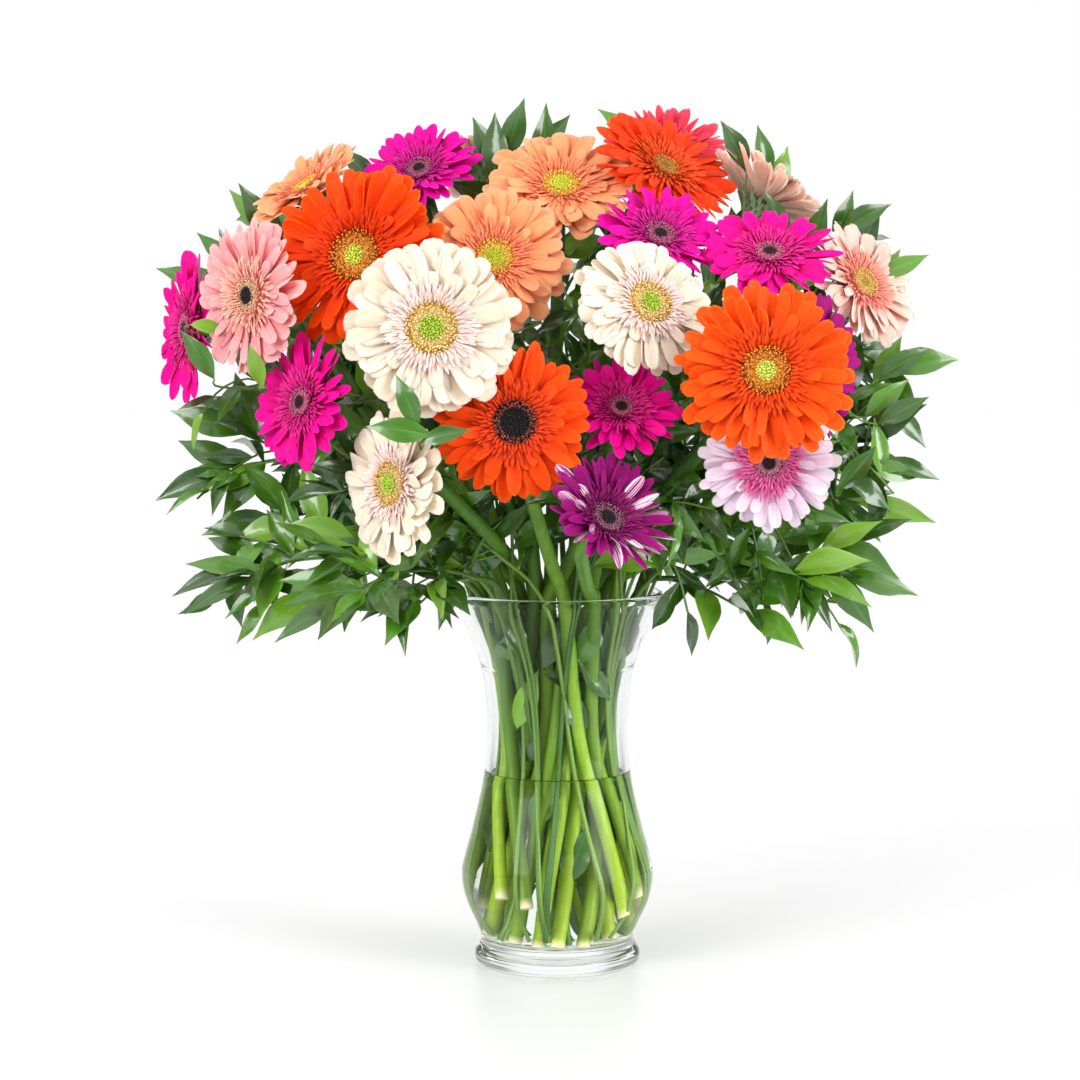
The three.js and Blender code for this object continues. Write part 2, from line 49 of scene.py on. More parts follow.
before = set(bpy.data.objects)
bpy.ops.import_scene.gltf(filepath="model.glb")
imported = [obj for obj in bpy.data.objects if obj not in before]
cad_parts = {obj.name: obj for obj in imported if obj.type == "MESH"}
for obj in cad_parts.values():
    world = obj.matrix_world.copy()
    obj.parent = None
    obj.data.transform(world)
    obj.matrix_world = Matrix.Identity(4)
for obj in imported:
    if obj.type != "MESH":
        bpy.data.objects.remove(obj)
cad_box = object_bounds()
scene = bpy.context.scene
print("CAD box in mm:", [[round(value / MM) for value in corner] for corner in cad_box])

# %% [markdown]
# ## Camera
# The camera stands level with the middle of the bunch and looks a little down, through a long
# lens, so the vase's rim shows as a thin ellipse. A long lens keeps the near blooms from
# looming over the far ones, which is how a bouquet is usually shown.

# %% Camera
CAMERA_PLACE = Vector((-10.7, -1750, 409)) * MM
CAMERA_TILT = math.radians(-4.8)
IMAGE_SIDE = 1080
PIXELS_PER_RADIAN = 2869
SENSOR = 36

camera_data = bpy.data.cameras.new("camera")
camera_data.sensor_width = SENSOR
camera_data.lens = SENSOR * PIXELS_PER_RADIAN / IMAGE_SIDE
camera = bpy.data.objects.new("camera", camera_data)
camera.location = CAMERA_PLACE
camera.rotation_euler = (math.pi / 2 + CAMERA_TILT, 0, 0)
scene.collection.objects.link(camera)
scene.camera = camera
scene.view_settings.view_transform = "Standard"
print("lens in mm:", round(camera_data.lens, 1))

# %% [markdown]
# ## Nodes and colours
# Shaders and Geometry Nodes trees are built by the same small function, which adds one node
# and sets or links its inputs. Colours are written as the hex values that a screen shows, and
# one function turns them into the linear light that a shader works in.


# %% Adding nodes
def used(sockets, name):
    """The socket at a place in the list, or the one in use that has this name"""
    if isinstance(name, int):
        return sockets[name]
    return next(socket for socket in sockets if socket.name == name and socket.enabled)


def add(tree, kind, inputs=None, **settings):
    """Adds a node with its settings. An input is a value, or another node's output to link"""
    node = tree.nodes.new(kind)
    for name, value in settings.items():
        setattr(node, name, value)
    for name, value in (inputs or {}).items():
        socket = used(node.inputs, name)
        if isinstance(value, bpy.types.NodeSocket):
            tree.links.new(value, socket)
        else:
            socket.default_value = value
    return node


def linear(code):
    """An sRGB hex colour as the linear red, green, blue and alpha that a shader takes"""
    channels = [int(code[place:place + 2], 16) / 255 for place in (0, 2, 4)]
    light = [c / 12.92 if c <= 0.04045 else ((c + 0.055) / 1.055) ** 2.4 for c in channels]
    return (*light, 1)


def new_material(name, **sockets):
    """A material with one Principled shader, whose even values are set on its own sockets"""
    material = bpy.data.materials.new(name)
    material.use_nodes = True
    shader = material.node_tree.nodes["Principled BSDF"]
    for label, value in sockets.items():
        shader.inputs[label.replace("_", " ")].default_value = value
    return material, material.node_tree, shader


# %% [markdown]
# ## Floor and light
# Clear glass has no colour of its own: it is drawn by what it bends into view. So the floor
# and the room are white behind the vase, which leaves the middle of the glass bright, and dim
# to both sides and in front, which draws the glass's edges in grey and keeps a haze of
# reflections off the stems. On the floor that dimness is painted shade, in place of an unlit
# room. The board itself is painted light grey near the vase, a painted shade, and whiter with
# distance, a painted light, so its far edge is lost in the white room. A bright crown above the
# bunch and two soft boxes light it.

# %% Floor
FLOOR_HALF = 9.0
WHITE_WIDENS = 0.2
WHITE_ENDS = 0.42
DIM_STARTS = 0.85
FRONT_ENDS = -0.3
FRONT_DIM = -0.55
FRONT_SHARE = 0.5
PALER_FROM = 0.6
PALER_TO = 3.5


def make_floor():
    """Painted light and shade: white in a wedge that widens away from the camera, dim outside of it"""
    corners = [(-FLOOR_HALF, -FLOOR_HALF), (FLOOR_HALF, -FLOOR_HALF), (FLOOR_HALF, FLOOR_HALF),
               (-FLOOR_HALF, FLOOR_HALF)]
    mesh = bpy.data.meshes.new("floor")
    mesh.from_pydata([(x, y, 0) for x, y in corners], [], [(0, 1, 2, 3)])
    material, tree, shader = new_material("painted board", Roughness=0.35)
    place = add(tree, "ShaderNodeTexCoord").outputs["Object"]
    parts = add(tree, "ShaderNodeSeparateXYZ", {"Vector": place})
    aside = add(tree, "ShaderNodeMath", {0: parts.outputs["X"]}, operation="ABSOLUTE")
    wedge = add(tree, "ShaderNodeMath",
                {0: parts.outputs["Y"], 1: -WHITE_WIDENS, 2: aside.outputs[0]}, operation="MULTIPLY_ADD")
    dim = add(tree, "ShaderNodeMapRange",
              {"Value": wedge.outputs[0], "From Min": WHITE_ENDS, "From Max": DIM_STARTS},
              interpolation_type="SMOOTHSTEP")
    front = add(tree, "ShaderNodeMapRange",
                {"Value": parts.outputs["Y"], "From Min": FRONT_ENDS, "From Max": FRONT_DIM,
                 "To Max": FRONT_SHARE}, interpolation_type="SMOOTHSTEP")
    # Painted light: the board goes from light grey near the vase, a painted shade, to white far off
    far = add(tree, "ShaderNodeMapRange",
              {"Value": parts.outputs["Y"], "From Min": PALER_FROM, "From Max": PALER_TO})
    board = add(tree, "ShaderNodeMix",
                {"Factor": used(far.outputs, "Result"), "A": linear("e2e2e2"), "B": linear("ffffff")},
                data_type="RGBA")
    # Painted shade: dim paint to both sides and in front, where the room is unlit
    outside = add(tree, "ShaderNodeMath",
                  {0: used(dim.outputs, "Result"), 1: used(front.outputs, "Result")}, operation="MAXIMUM")
    paint = add(tree, "ShaderNodeMix",
                {"Factor": outside.outputs[0], "A": used(board.outputs, "Result"), "B": linear("a4a6a8")},
                data_type="RGBA")
    tree.links.new(used(paint.outputs, "Result"), shader.inputs["Base Color"])
    mesh.materials.append(material)
    floor = bpy.data.objects.new("floor", mesh)
    scene.collection.objects.link(floor)


make_floor()

# %% Light
ROOM_DIM = 0.3
CROWN = 1.1
WHITE_FROM = 0.84
WHITE_FULL = 0.97
CROWN_FROM = 0.1
CROWN_FULL = 0.42
BUNCH_MIDDLE = Vector((0, 0, 0.3))
SOFT_BOXES = [
    {"name": "key", "at": (-1.5, -1.4, 1.3), "wide": 1.1, "high": 1.7, "watts": 39},
    {"name": "fill", "at": (1.95, -1.1, 0.9), "wide": 1.1, "high": 1.7, "watts": 46},
]


def light_room():
    """White behind, bright overhead, dim elsewhere, and two soft boxes in front"""
    world = bpy.data.worlds.new("studio")
    scene.world = world
    world.use_nodes = True
    tree = world.node_tree
    direction = add(tree, "ShaderNodeTexCoord").outputs["Generated"]
    level = add(tree, "ShaderNodeVectorMath", {0: direction, 1: (1, 1, 0)}, operation="MULTIPLY")
    heading = add(tree, "ShaderNodeVectorMath", {0: level.outputs[0]}, operation="NORMALIZE")
    away = add(tree, "ShaderNodeSeparateXYZ", {"Vector": heading.outputs[0]}).outputs["Y"]
    behind = add(tree, "ShaderNodeMapRange",
                 {"Value": away, "From Min": WHITE_FROM, "From Max": WHITE_FULL,
                  "To Min": ROOM_DIM, "To Max": 1.0}, interpolation_type="SMOOTHSTEP")
    up = add(tree, "ShaderNodeSeparateXYZ", {"Vector": direction}).outputs["Z"]
    overhead = add(tree, "ShaderNodeMapRange",
                   {"Value": up, "From Min": CROWN_FROM, "From Max": CROWN_FULL, "To Max": CROWN},
                   interpolation_type="SMOOTHSTEP")
    strength = add(tree, "ShaderNodeMath",
                   {0: used(behind.outputs, "Result"), 1: used(overhead.outputs, "Result")},
                   operation="MAXIMUM")
    tree.links.new(strength.outputs[0], tree.nodes["Background"].inputs["Strength"])
    tree.nodes["Background"].inputs["Color"].default_value = (1, 1, 1, 1)
    for box in SOFT_BOXES:
        data = bpy.data.lights.new(box["name"], "AREA")
        data.shape = "RECTANGLE"
        data.size = box["wide"]
        data.size_y = box["high"]
        data.energy = box["watts"]
        light = bpy.data.objects.new(box["name"], data)
        light.location = box["at"]
        aim = BUNCH_MIDDLE - light.location
        light.rotation_euler = aim.to_track_quat("-Z", "Y").to_euler()
        scene.collection.objects.link(light)


light_room()
print("soft boxes:", len(SOFT_BOXES))

# %% [markdown]
# ## Reading the frame
# A CAD stem is a coarse tube of rings. Walking from its cut end along the mesh's edges meets
# the rings one after another, so the middles of the rings give back the line that the stem
# follows. The last rings lie in the cup under the head, square to it, so they also say where
# the bloom is and which way it faces. Nothing is placed by eye twice.

# %% Walking along a CAD stem
CUT_ACROSS = 10 * MM
CUP_RINGS = 5
CUP_TOP = 6.7 * MM


def rings(node, count):
    """Middle and radius of each of the first rings of a CAD stem, from its cut end up"""
    shape = bmesh.new()
    shape.from_mesh(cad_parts[node].data)
    bmesh.ops.remove_doubles(shape, verts=shape.verts, dist=1e-6)
    lowest = min(shape.verts, key=lambda corner: corner.co.z)
    ring = {corner for corner in shape.verts if (corner.co - lowest.co).length < CUT_ACROSS}
    seen = set(ring)
    found = []
    while ring and len(found) < count:
        middle = sum((corner.co for corner in ring), Vector()) / len(ring)
        found.append((middle, sum((corner.co - middle).length for corner in ring) / len(ring)))
        ring = {edge.other_vert(corner) for corner in ring for edge in corner.link_edges} - seen
        seen |= ring
    shape.free()
    return found


def corners_of(node):
    """All corners of a CAD node"""
    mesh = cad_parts[node].data
    found = np.empty(len(mesh.vertices) * 3)
    mesh.vertices.foreach_get("co", found)
    return found.reshape(-1, 3)


# %% Measuring the blooms
CORE_SHARE = 0.27
PETAL_LEVEL = -4.5 * MM
TIP_DROOP = 0.05


def measure_bloom(number):
    """Where a bloom's disc is, the way it faces, how far its petals reach and how they lift"""
    line = rings(f"stem_{number:02d}", 20)
    axis = (line[-1][0] - line[-CUP_RINGS][0]).normalized()
    centre = line[-1][0] + axis * CUP_TOP
    offsets = corners_of(f"bloom_{number:02d}") - np.array(centre)
    heights = offsets @ np.array(axis)
    outs = np.sqrt(np.maximum((offsets ** 2).sum(1) - heights ** 2, 0))
    reach = float(outs.max())
    tips = outs > 0.9 * reach
    rise = heights[tips] - PETAL_LEVEL + TIP_DROOP * outs[tips]
    lift = float(np.arctan2(rise, outs[tips] - CORE_SHARE * reach).mean())
    turn = Vector((0, 0, 1)).rotation_difference(axis)
    place = Matrix.Translation(centre) @ turn.to_matrix().to_4x4()
    return {"centre": centre, "axis": axis, "reach": reach, "lift": lift, "place": place, "line": line}


BLOOM_COUNT = sum(1 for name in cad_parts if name.startswith("bloom_"))
blooms = [measure_bloom(number + 1) for number in range(BLOOM_COUNT)]
for number, bloom in enumerate(blooms, 1):
    print(f"bloom {number}: reach {bloom['reach'] / MM:.0f} mm, lift {math.degrees(bloom['lift']):.0f} deg")

# %% [markdown]
# ## One blade for petals, bracts and leaves
# A petal, a bract, a strap-shaped floret and a leaf are all thin blades: two faces that share
# one outline. One function lays a small grid for each face and joins them along the outline,
# which is marked sharp so that each face keeps its own shading. What differs from blade to
# blade is only a rule that turns a place on the grid into a point and a thickness. The UV map
# says how far along and across a point lies, and an attribute says which face it is on, for
# the materials. A blade is a few dozen faces, because it is repeated hundreds of times.


# %% Blades
def blade(name, along, across, rule):
    """A closed thin blade. The rule gives x, y, z and thickness at each place of the grid"""
    u, v = np.meshgrid(np.linspace(0, 1, along + 1), np.linspace(-1, 1, across + 1), indexing="ij")
    x, y, z, thick = rule(u, v)
    pinched = np.abs(y - y.mean(1, keepdims=True)).max(1) < 1e-6
    points, upper, places = [], [], {}

    def corner(side, i, j):
        rim = i in (0, along) or j in (0, across)
        key = (i, 0 if pinched[i] else j, 0 if rim or pinched[i] else side)
        if key not in places:
            places[key] = len(points)
            lift = 0 if rim else thick[i, j] * (0.5 - side)
            points.append((x[i, j], y[i, j], z[i, j] + lift))
            upper.append(0.5 if rim else 1 - side)
        return places[key]

    faces, maps = [], []
    for side in (0, 1):
        for i in range(along):
            for j in range(across):
                quad = [(i, j), (i + 1, j), (i + 1, j + 1), (i, j + 1)]
                ring = {corner(side, *place): (u[place], (v[place] + 1) / 2) for place in quad}
                order = list(ring) if side == 0 else list(ring)[::-1]
                if len(order) > 2:
                    faces.append(order)
                    maps.extend(ring[point] for point in order)
    mesh = bpy.data.meshes.new(name)
    mesh.from_pydata(points, [], faces, shade_flat=False)
    mesh.uv_layers.new(name="blade").data.foreach_set("uv", np.array(maps).ravel())
    mesh.attributes.new("upper", "FLOAT", "POINT").data.foreach_set("value", upper)
    for edge in mesh.edges:
        edge.use_edge_sharp = all(upper[point] == 0.5 for point in edge.vertices)
    return mesh


def family(name, meshes):
    """A collection of variants, for Geometry Nodes to pick from. It isn't part of the scene"""
    collection = bpy.data.collections.new(name)
    for number, mesh in enumerate(meshes):
        collection.objects.link(bpy.data.objects.new(f"{name}_{number}", mesh))
    print(f"{name}: {len(meshes)} variants of {len(meshes[0].polygons)} faces")
    return collection


# %% Petals
# Widths at eight places from root to tip, as shares of the widest
PETAL_STEPS = np.array([0, 0.2, 0.42, 0.64, 0.82, 0.925, 0.98, 1.0])
ROUND_WIDTHS = np.array([0.34, 0.56, 0.82, 0.97, 1.0, 0.86, 0.58, 0.2])
POINTED_WIDTHS = np.array([0.34, 0.56, 0.82, 0.97, 0.88, 0.6, 0.3, 0.05])
PETAL_GROOVE = 0.018
PETAL_THICK = 0.014
PETAL_VARIANTS = 9
draw = np.random.default_rng(11)


def petal_rule(widths):
    """A petal of length and width 1, with two grooves along it and small bends of its own"""
    hollow = draw.uniform(-0.01, 0.07)
    arch = draw.uniform(-0.03, 0.04)
    sideways = draw.uniform(-0.05, 0.05)
    twist = draw.uniform(-0.4, 0.4)
    droop = TIP_DROOP * draw.uniform(0.2, 1.5)
    wave = draw.uniform(0, math.tau)
    notch = draw.uniform(0, 0.012)

    def rule(u, v):
        along = np.interp(u, np.linspace(0, 1, len(PETAL_STEPS)), PETAL_STEPS)
        half = 0.5 * np.interp(along, PETAL_STEPS, widths)
        grooves = 0.5 - 0.5 * np.cos(3 * math.pi * v)
        x = along - (u > 0.99) * (0.008 * v ** 2 + notch * grooves)
        y = v * half + sideways * along ** 2
        fade = np.minimum(1, 3.2 * along) * np.minimum(1, 6 * (1.05 - along))
        z = hollow * v ** 2 * (half / 0.5) * fade - PETAL_GROOVE * grooves * fade
        z += arch * np.sin(math.pi * along) - droop * along ** 4
        z += 0.24 * v * half * np.sin(twist * along * 2) + 0.008 * v * np.sin(7 * along + wave)
        return x, y, z, PETAL_THICK * fade * np.ones_like(v)

    return rule


round_petals = family("round_petal", [blade("round petal", 7, 6, petal_rule(ROUND_WIDTHS))
                                      for _ in range(PETAL_VARIANTS)])
pointed_petals = family("pointed_petal", [blade("pointed petal", 7, 6, petal_rule(POINTED_WIDTHS))
                                          for _ in range(PETAL_VARIANTS)])


# %% Inner florets and bracts
def strap_rule():
    """A short strap of the inner florets, which stands up and curls outwards"""
    curl = draw.uniform(0.0, 0.45)
    sideways = draw.uniform(-0.2, 0.2)

    def rule(u, v):
        half = 0.5 * np.interp(u, [0, 0.25, 0.5, 0.75, 1], [0.6, 0.75, 0.95, 1.0, 0.35])
        return u, v * half + sideways * u ** 2, 0.06 * v ** 2 - curl * u ** 2, 0.05 * np.ones_like(u)

    return rule


def bract_rule():
    """A green scale of the cup, pointed and pressed to it"""
    bend = draw.uniform(0.02, 0.10)

    def rule(u, v):
        half = 0.5 * np.interp(u, [0, 0.25, 0.5, 0.75, 1], [0.8, 1.0, 0.85, 0.5, 0.0])
        return u, v * half, -bend * u ** 2 - 0.05 * v ** 2, 0.07 * np.sin(math.pi * u) + 0.01

    return rule


straps = family("strap", [blade("strap", 4, 2, strap_rule()) for _ in range(7)])
bracts = family("bract", [blade("bract", 4, 2, bract_rule()) for _ in range(3)])


# %% Florets of the disc
def spindle(name, levels, sides, lean=0.0, hook=0.0):
    """A closed round body about +Z, through levels of (height, radius), leaning as it rises"""
    top = levels[-1][0]
    points, tips = [], []
    for height, radius in levels:
        share = height / top
        x, y = lean * share + hook * math.sin(math.pi * share), 0.4 * hook * math.sin(math.tau * share)
        for side in range(sides):
            angle = math.tau * side / sides
            points.append((x + radius * math.cos(angle), y + radius * math.sin(angle), height))
            tips.append(share)
    faces = [[level * sides + side, level * sides + (side + 1) % sides,
              (level + 1) * sides + (side + 1) % sides, (level + 1) * sides + side]
             for level in range(len(levels) - 1) for side in range(sides)]
    faces.append(list(range(sides))[::-1])
    faces.append([len(points) - sides + side for side in range(sides)])
    mesh = bpy.data.meshes.new(name)
    mesh.from_pydata(points, [], faces, shade_flat=False)
    mesh.attributes.new("tip", "FLOAT", "POINT").data.foreach_set("value", tips)
    return mesh


BUD_LEVELS = [(0, 0.3), (0.62, 0.36), (1, 0.12)]
FLORET_LEVELS = [(0, 0.14), (0.55, 0.13), (0.82, 0.24), (1, 0.08)]
buds = family("bud", [spindle("bud", BUD_LEVELS, 4, lean) for lean in (0, 0.08, 0.16)])
open_florets = family("open_floret", [
    spindle("open floret", FLORET_LEVELS, 4, lean, hook)
    for lean, hook in ((0.3, 0.12), (0.5, -0.1), (0.1, 0.2), (0.65, 0.16), (-0.1, -0.16))])

# %% [markdown]
# ## Growing by rule
# Petals, florets, bracts and leaves could each be placed by hand, or by a loop that copies
# meshes. Geometry Nodes do it from a handful of named sizes instead, and the same tree serves
# every head. Each tree ends in real geometry with its material set, because instances don't
# survive the export. The result is read back as a plain mesh and moved to its place.


# %% Making and running trees
def new_tree(name, **inputs):
    """A Geometry Nodes tree with named inputs, and the sockets that they come from"""
    tree = bpy.data.node_groups.new(name, "GeometryNodeTree")
    kinds = {int: "NodeSocketInt", float: "NodeSocketFloat", tuple: "NodeSocketVector",
             "parts": "NodeSocketCollection", "finish": "NodeSocketMaterial"}
    tree.interface.new_socket("Geometry", in_out="INPUT", socket_type="NodeSocketGeometry")
    tree.interface.new_socket("Geometry", in_out="OUTPUT", socket_type="NodeSocketGeometry")
    for label, value in inputs.items():
        kind = kinds[value] if isinstance(value, str) else kinds[type(value)]
        socket = tree.interface.new_socket(label, in_out="INPUT", socket_type=kind)
        if not isinstance(value, str):
            socket.default_value = value
    return tree, add(tree, "NodeGroupInput").outputs


def place_variants(tree, parts, seed, inputs):
    """Puts a variant from a family, picked at random, on each point"""
    info = add(tree, "GeometryNodeCollectionInfo",
               {"Collection": parts, "Separate Children": True, "Reset Children": True})
    pick = add(tree, "FunctionNodeRandomValue", {"Min": 0, "Max": 99, "Seed": seed}, data_type="INT")
    chosen = {"Instance": info.outputs[0], "Pick Instance": True,
              "Instance Index": used(pick.outputs, "Value")}
    return add(tree, "GeometryNodeInstanceOnPoints", chosen | inputs).outputs[0]


def give_shades(tree, instances, seed):
    """Gives each instance a shade of its own from 0 to 1, which its material reads"""
    shade = add(tree, "FunctionNodeRandomValue", {"Min": 0.0, "Max": 1.0, "Seed": seed},
                data_type="FLOAT")
    return add(tree, "GeometryNodeStoreNamedAttribute",
               {"Geometry": instances, "Name": "shade", "Value": used(shade.outputs, "Value")},
               data_type="FLOAT", domain="INSTANCE").outputs[0]


def finish_tree(tree, geometry, material):
    """Ends a tree: instances become real, and the material is set"""
    real = add(tree, "GeometryNodeRealizeInstances", {"Geometry": geometry})
    painted = add(tree, "GeometryNodeSetMaterial", {"Geometry": real.outputs[0], "Material": material})
    add(tree, "NodeGroupOutput", {"Geometry": painted.outputs[0]})


def grow(tree, start=None, place=None, **values):
    """Runs a tree on a mesh, or on nothing, and gives the result as a plain mesh, in its place"""
    holder = bpy.data.objects.new("holder", start or bpy.data.meshes.new("nothing"))
    scene.collection.objects.link(holder)
    modifier = holder.modifiers.new(tree.name, "NODES")
    modifier.node_group = tree
    for item in tree.interface.items_tree:
        if item.in_out == "INPUT" and item.name in values:
            modifier[item.identifier] = values[item.name]
    graph = bpy.context.evaluated_depsgraph_get()
    mesh = bpy.data.meshes.new_from_object(holder.evaluated_get(graph),
                                           preserve_all_data_layers=True, depsgraph=graph)
    bpy.data.objects.remove(holder)
    if place:
        mesh.transform(place)
    return mesh


# %% Making pieces
def make_piece(name, meshes, replaced=()):
    """One named piece of the object from one or more meshes, riding on the only body"""
    shape = bmesh.new()
    finishes = []
    for mesh in meshes:
        first = len(shape.faces)
        shape.from_mesh(mesh)
        shape.faces.ensure_lookup_table()
        for face in shape.faces[first:]:
            finish = mesh.materials[face.material_index]
            if finish not in finishes:
                finishes.append(finish)
            face.material_index = finishes.index(finish)
    joined = bpy.data.meshes.new(name)
    shape.to_mesh(joined)
    shape.free()
    for finish in finishes:
        joined.materials.append(finish)
    piece = bpy.data.objects.new(name, joined)
    scene.collection.objects.link(piece)
    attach(piece, "root")
    if replaced:
        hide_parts(*replaced)
    return piece


# %% [markdown]
# ## The whorl
# Petals, inner florets and bracts all stand in rows round one axis, each row turned a little
# so that its blades fall between those below. One tree sets out any such whorl: it makes a
# point for each blade, turns and lifts it by its row, adds a little chance from a fixed seed,
# and puts a variant of the blade there.


# %% The whorl tree
def whorl_tree():
    """Rows of blades round +Z. Angles and sizes vary between bounds, from the seed"""
    tree, given = new_tree(
        "whorl", Parts="parts", Finish="finish", Each=24, Rows=3, Stagger=0.38, Radius=0.01,
        Inward=0.0, Height=0.0, Rise=0.0, Lift=0.0, LiftStep=0.0, Length=0.04, Width=0.01, Shorten=0.0,
        Chance=(0.0, 0.0, 0.0), Least=(1.0, 1.0, 1.0), Most=(1.0, 1.0, 1.0), Roll=0.0, Seed=0)
    count = add(tree, "ShaderNodeMath", {0: given["Each"], 1: given["Rows"]}, operation="MULTIPLY")
    index = add(tree, "GeometryNodeInputIndex")
    turns = add(tree, "ShaderNodeMath", {0: index.outputs[0], 1: given["Each"]}, operation="DIVIDE")
    row = add(tree, "ShaderNodeMath", {0: turns.outputs[0]}, operation="FLOOR").outputs[0]
    step = add(tree, "ShaderNodeMath", {0: row, 1: given["Each"]}, operation="DIVIDE")
    turn = add(tree, "ShaderNodeMath", {0: step.outputs[0], 1: given["Stagger"], 2: turns.outputs[0]},
               operation="MULTIPLY_ADD")
    angle = add(tree, "ShaderNodeMath", {0: turn.outputs[0], 1: math.tau}, operation="MULTIPLY").outputs[0]

    radius = add(tree, "ShaderNodeMath", {0: row, 1: given["Inward"], 2: given["Radius"]},
                 operation="MULTIPLY_ADD")
    height = add(tree, "ShaderNodeMath", {0: row, 1: given["Rise"], 2: given["Height"]},
                 operation="MULTIPLY_ADD")
    root = add(tree, "ShaderNodeCombineXYZ", {"X": radius.outputs[0], "Z": height.outputs[0]})
    place = add(tree, "ShaderNodeVectorRotate", {"Vector": root.outputs[0], "Angle": angle},
                rotation_type="Z_AXIS")
    points = add(tree, "GeometryNodePoints", {"Count": count.outputs[0], "Position": place.outputs[0]})

    lift = add(tree, "ShaderNodeMath", {0: row, 1: given["LiftStep"], 2: given["Lift"]},
               operation="MULTIPLY_ADD")
    pitch = add(tree, "ShaderNodeMath", {0: lift.outputs[0], 1: -1.0}, operation="MULTIPLY")
    euler = add(tree, "ShaderNodeCombineXYZ", {"X": given["Roll"], "Y": pitch.outputs[0], "Z": angle})
    other_way = add(tree, "ShaderNodeVectorMath", {"Vector": given["Chance"], "Scale": -1.0},
                    operation="SCALE")
    chance = add(tree, "FunctionNodeRandomValue",
                 {"Min": other_way.outputs[0], "Max": given["Chance"], "Seed": given["Seed"]},
                 data_type="FLOAT_VECTOR")
    varied = add(tree, "ShaderNodeVectorMath", {0: euler.outputs[0], 1: used(chance.outputs, "Value")},
                 operation="ADD")
    rotation = add(tree, "FunctionNodeEulerToRotation", {"Euler": varied.outputs[0]})

    size = add(tree, "ShaderNodeCombineXYZ",
               {"X": given["Length"], "Y": given["Width"], "Z": given["Length"]})
    spread = add(tree, "FunctionNodeRandomValue",
                 {"Min": given["Least"], "Max": given["Most"], "Seed": given["Seed"]},
                 data_type="FLOAT_VECTOR")
    sized = add(tree, "ShaderNodeVectorMath", {0: size.outputs[0], 1: used(spread.outputs, "Value")},
                operation="MULTIPLY")
    shorter = add(tree, "ShaderNodeMath", {0: row, 1: given["Shorten"]}, operation="MULTIPLY")
    share = add(tree, "ShaderNodeMath", {0: 1.0, 1: shorter.outputs[0]}, operation="SUBTRACT")
    scale = add(tree, "ShaderNodeVectorMath", {0: sized.outputs[0], "Scale": share.outputs[0]},
                operation="SCALE")

    placed = place_variants(tree, given["Parts"], given["Seed"],
                            {"Points": points.outputs[0], "Rotation": rotation.outputs[0],
                             "Scale": scale.outputs[0]})
    finish_tree(tree, give_shades(tree, placed, given["Seed"]), given["Finish"])
    return tree


whorl = whorl_tree()
print("whorl tree:", len(whorl.nodes), "nodes")

# %% [markdown]
# ## The disc
# The florets in the middle of the head follow the golden angle: each is turned by 137.5
# degrees from the one before and stands a little further out. The closed buds fill the middle,
# and the open florets with their curled tips make the ring round it. A float curve gives the
# profile of the disc, a ring with a dip in its middle.

# %% The disc tree
GOLDEN_ANGLE = math.radians(137.508)
DISC_PROFILE = [(0.0, 0.3), (0.4, 0.5), (0.75, 1.0), (1.0, 0.5)]


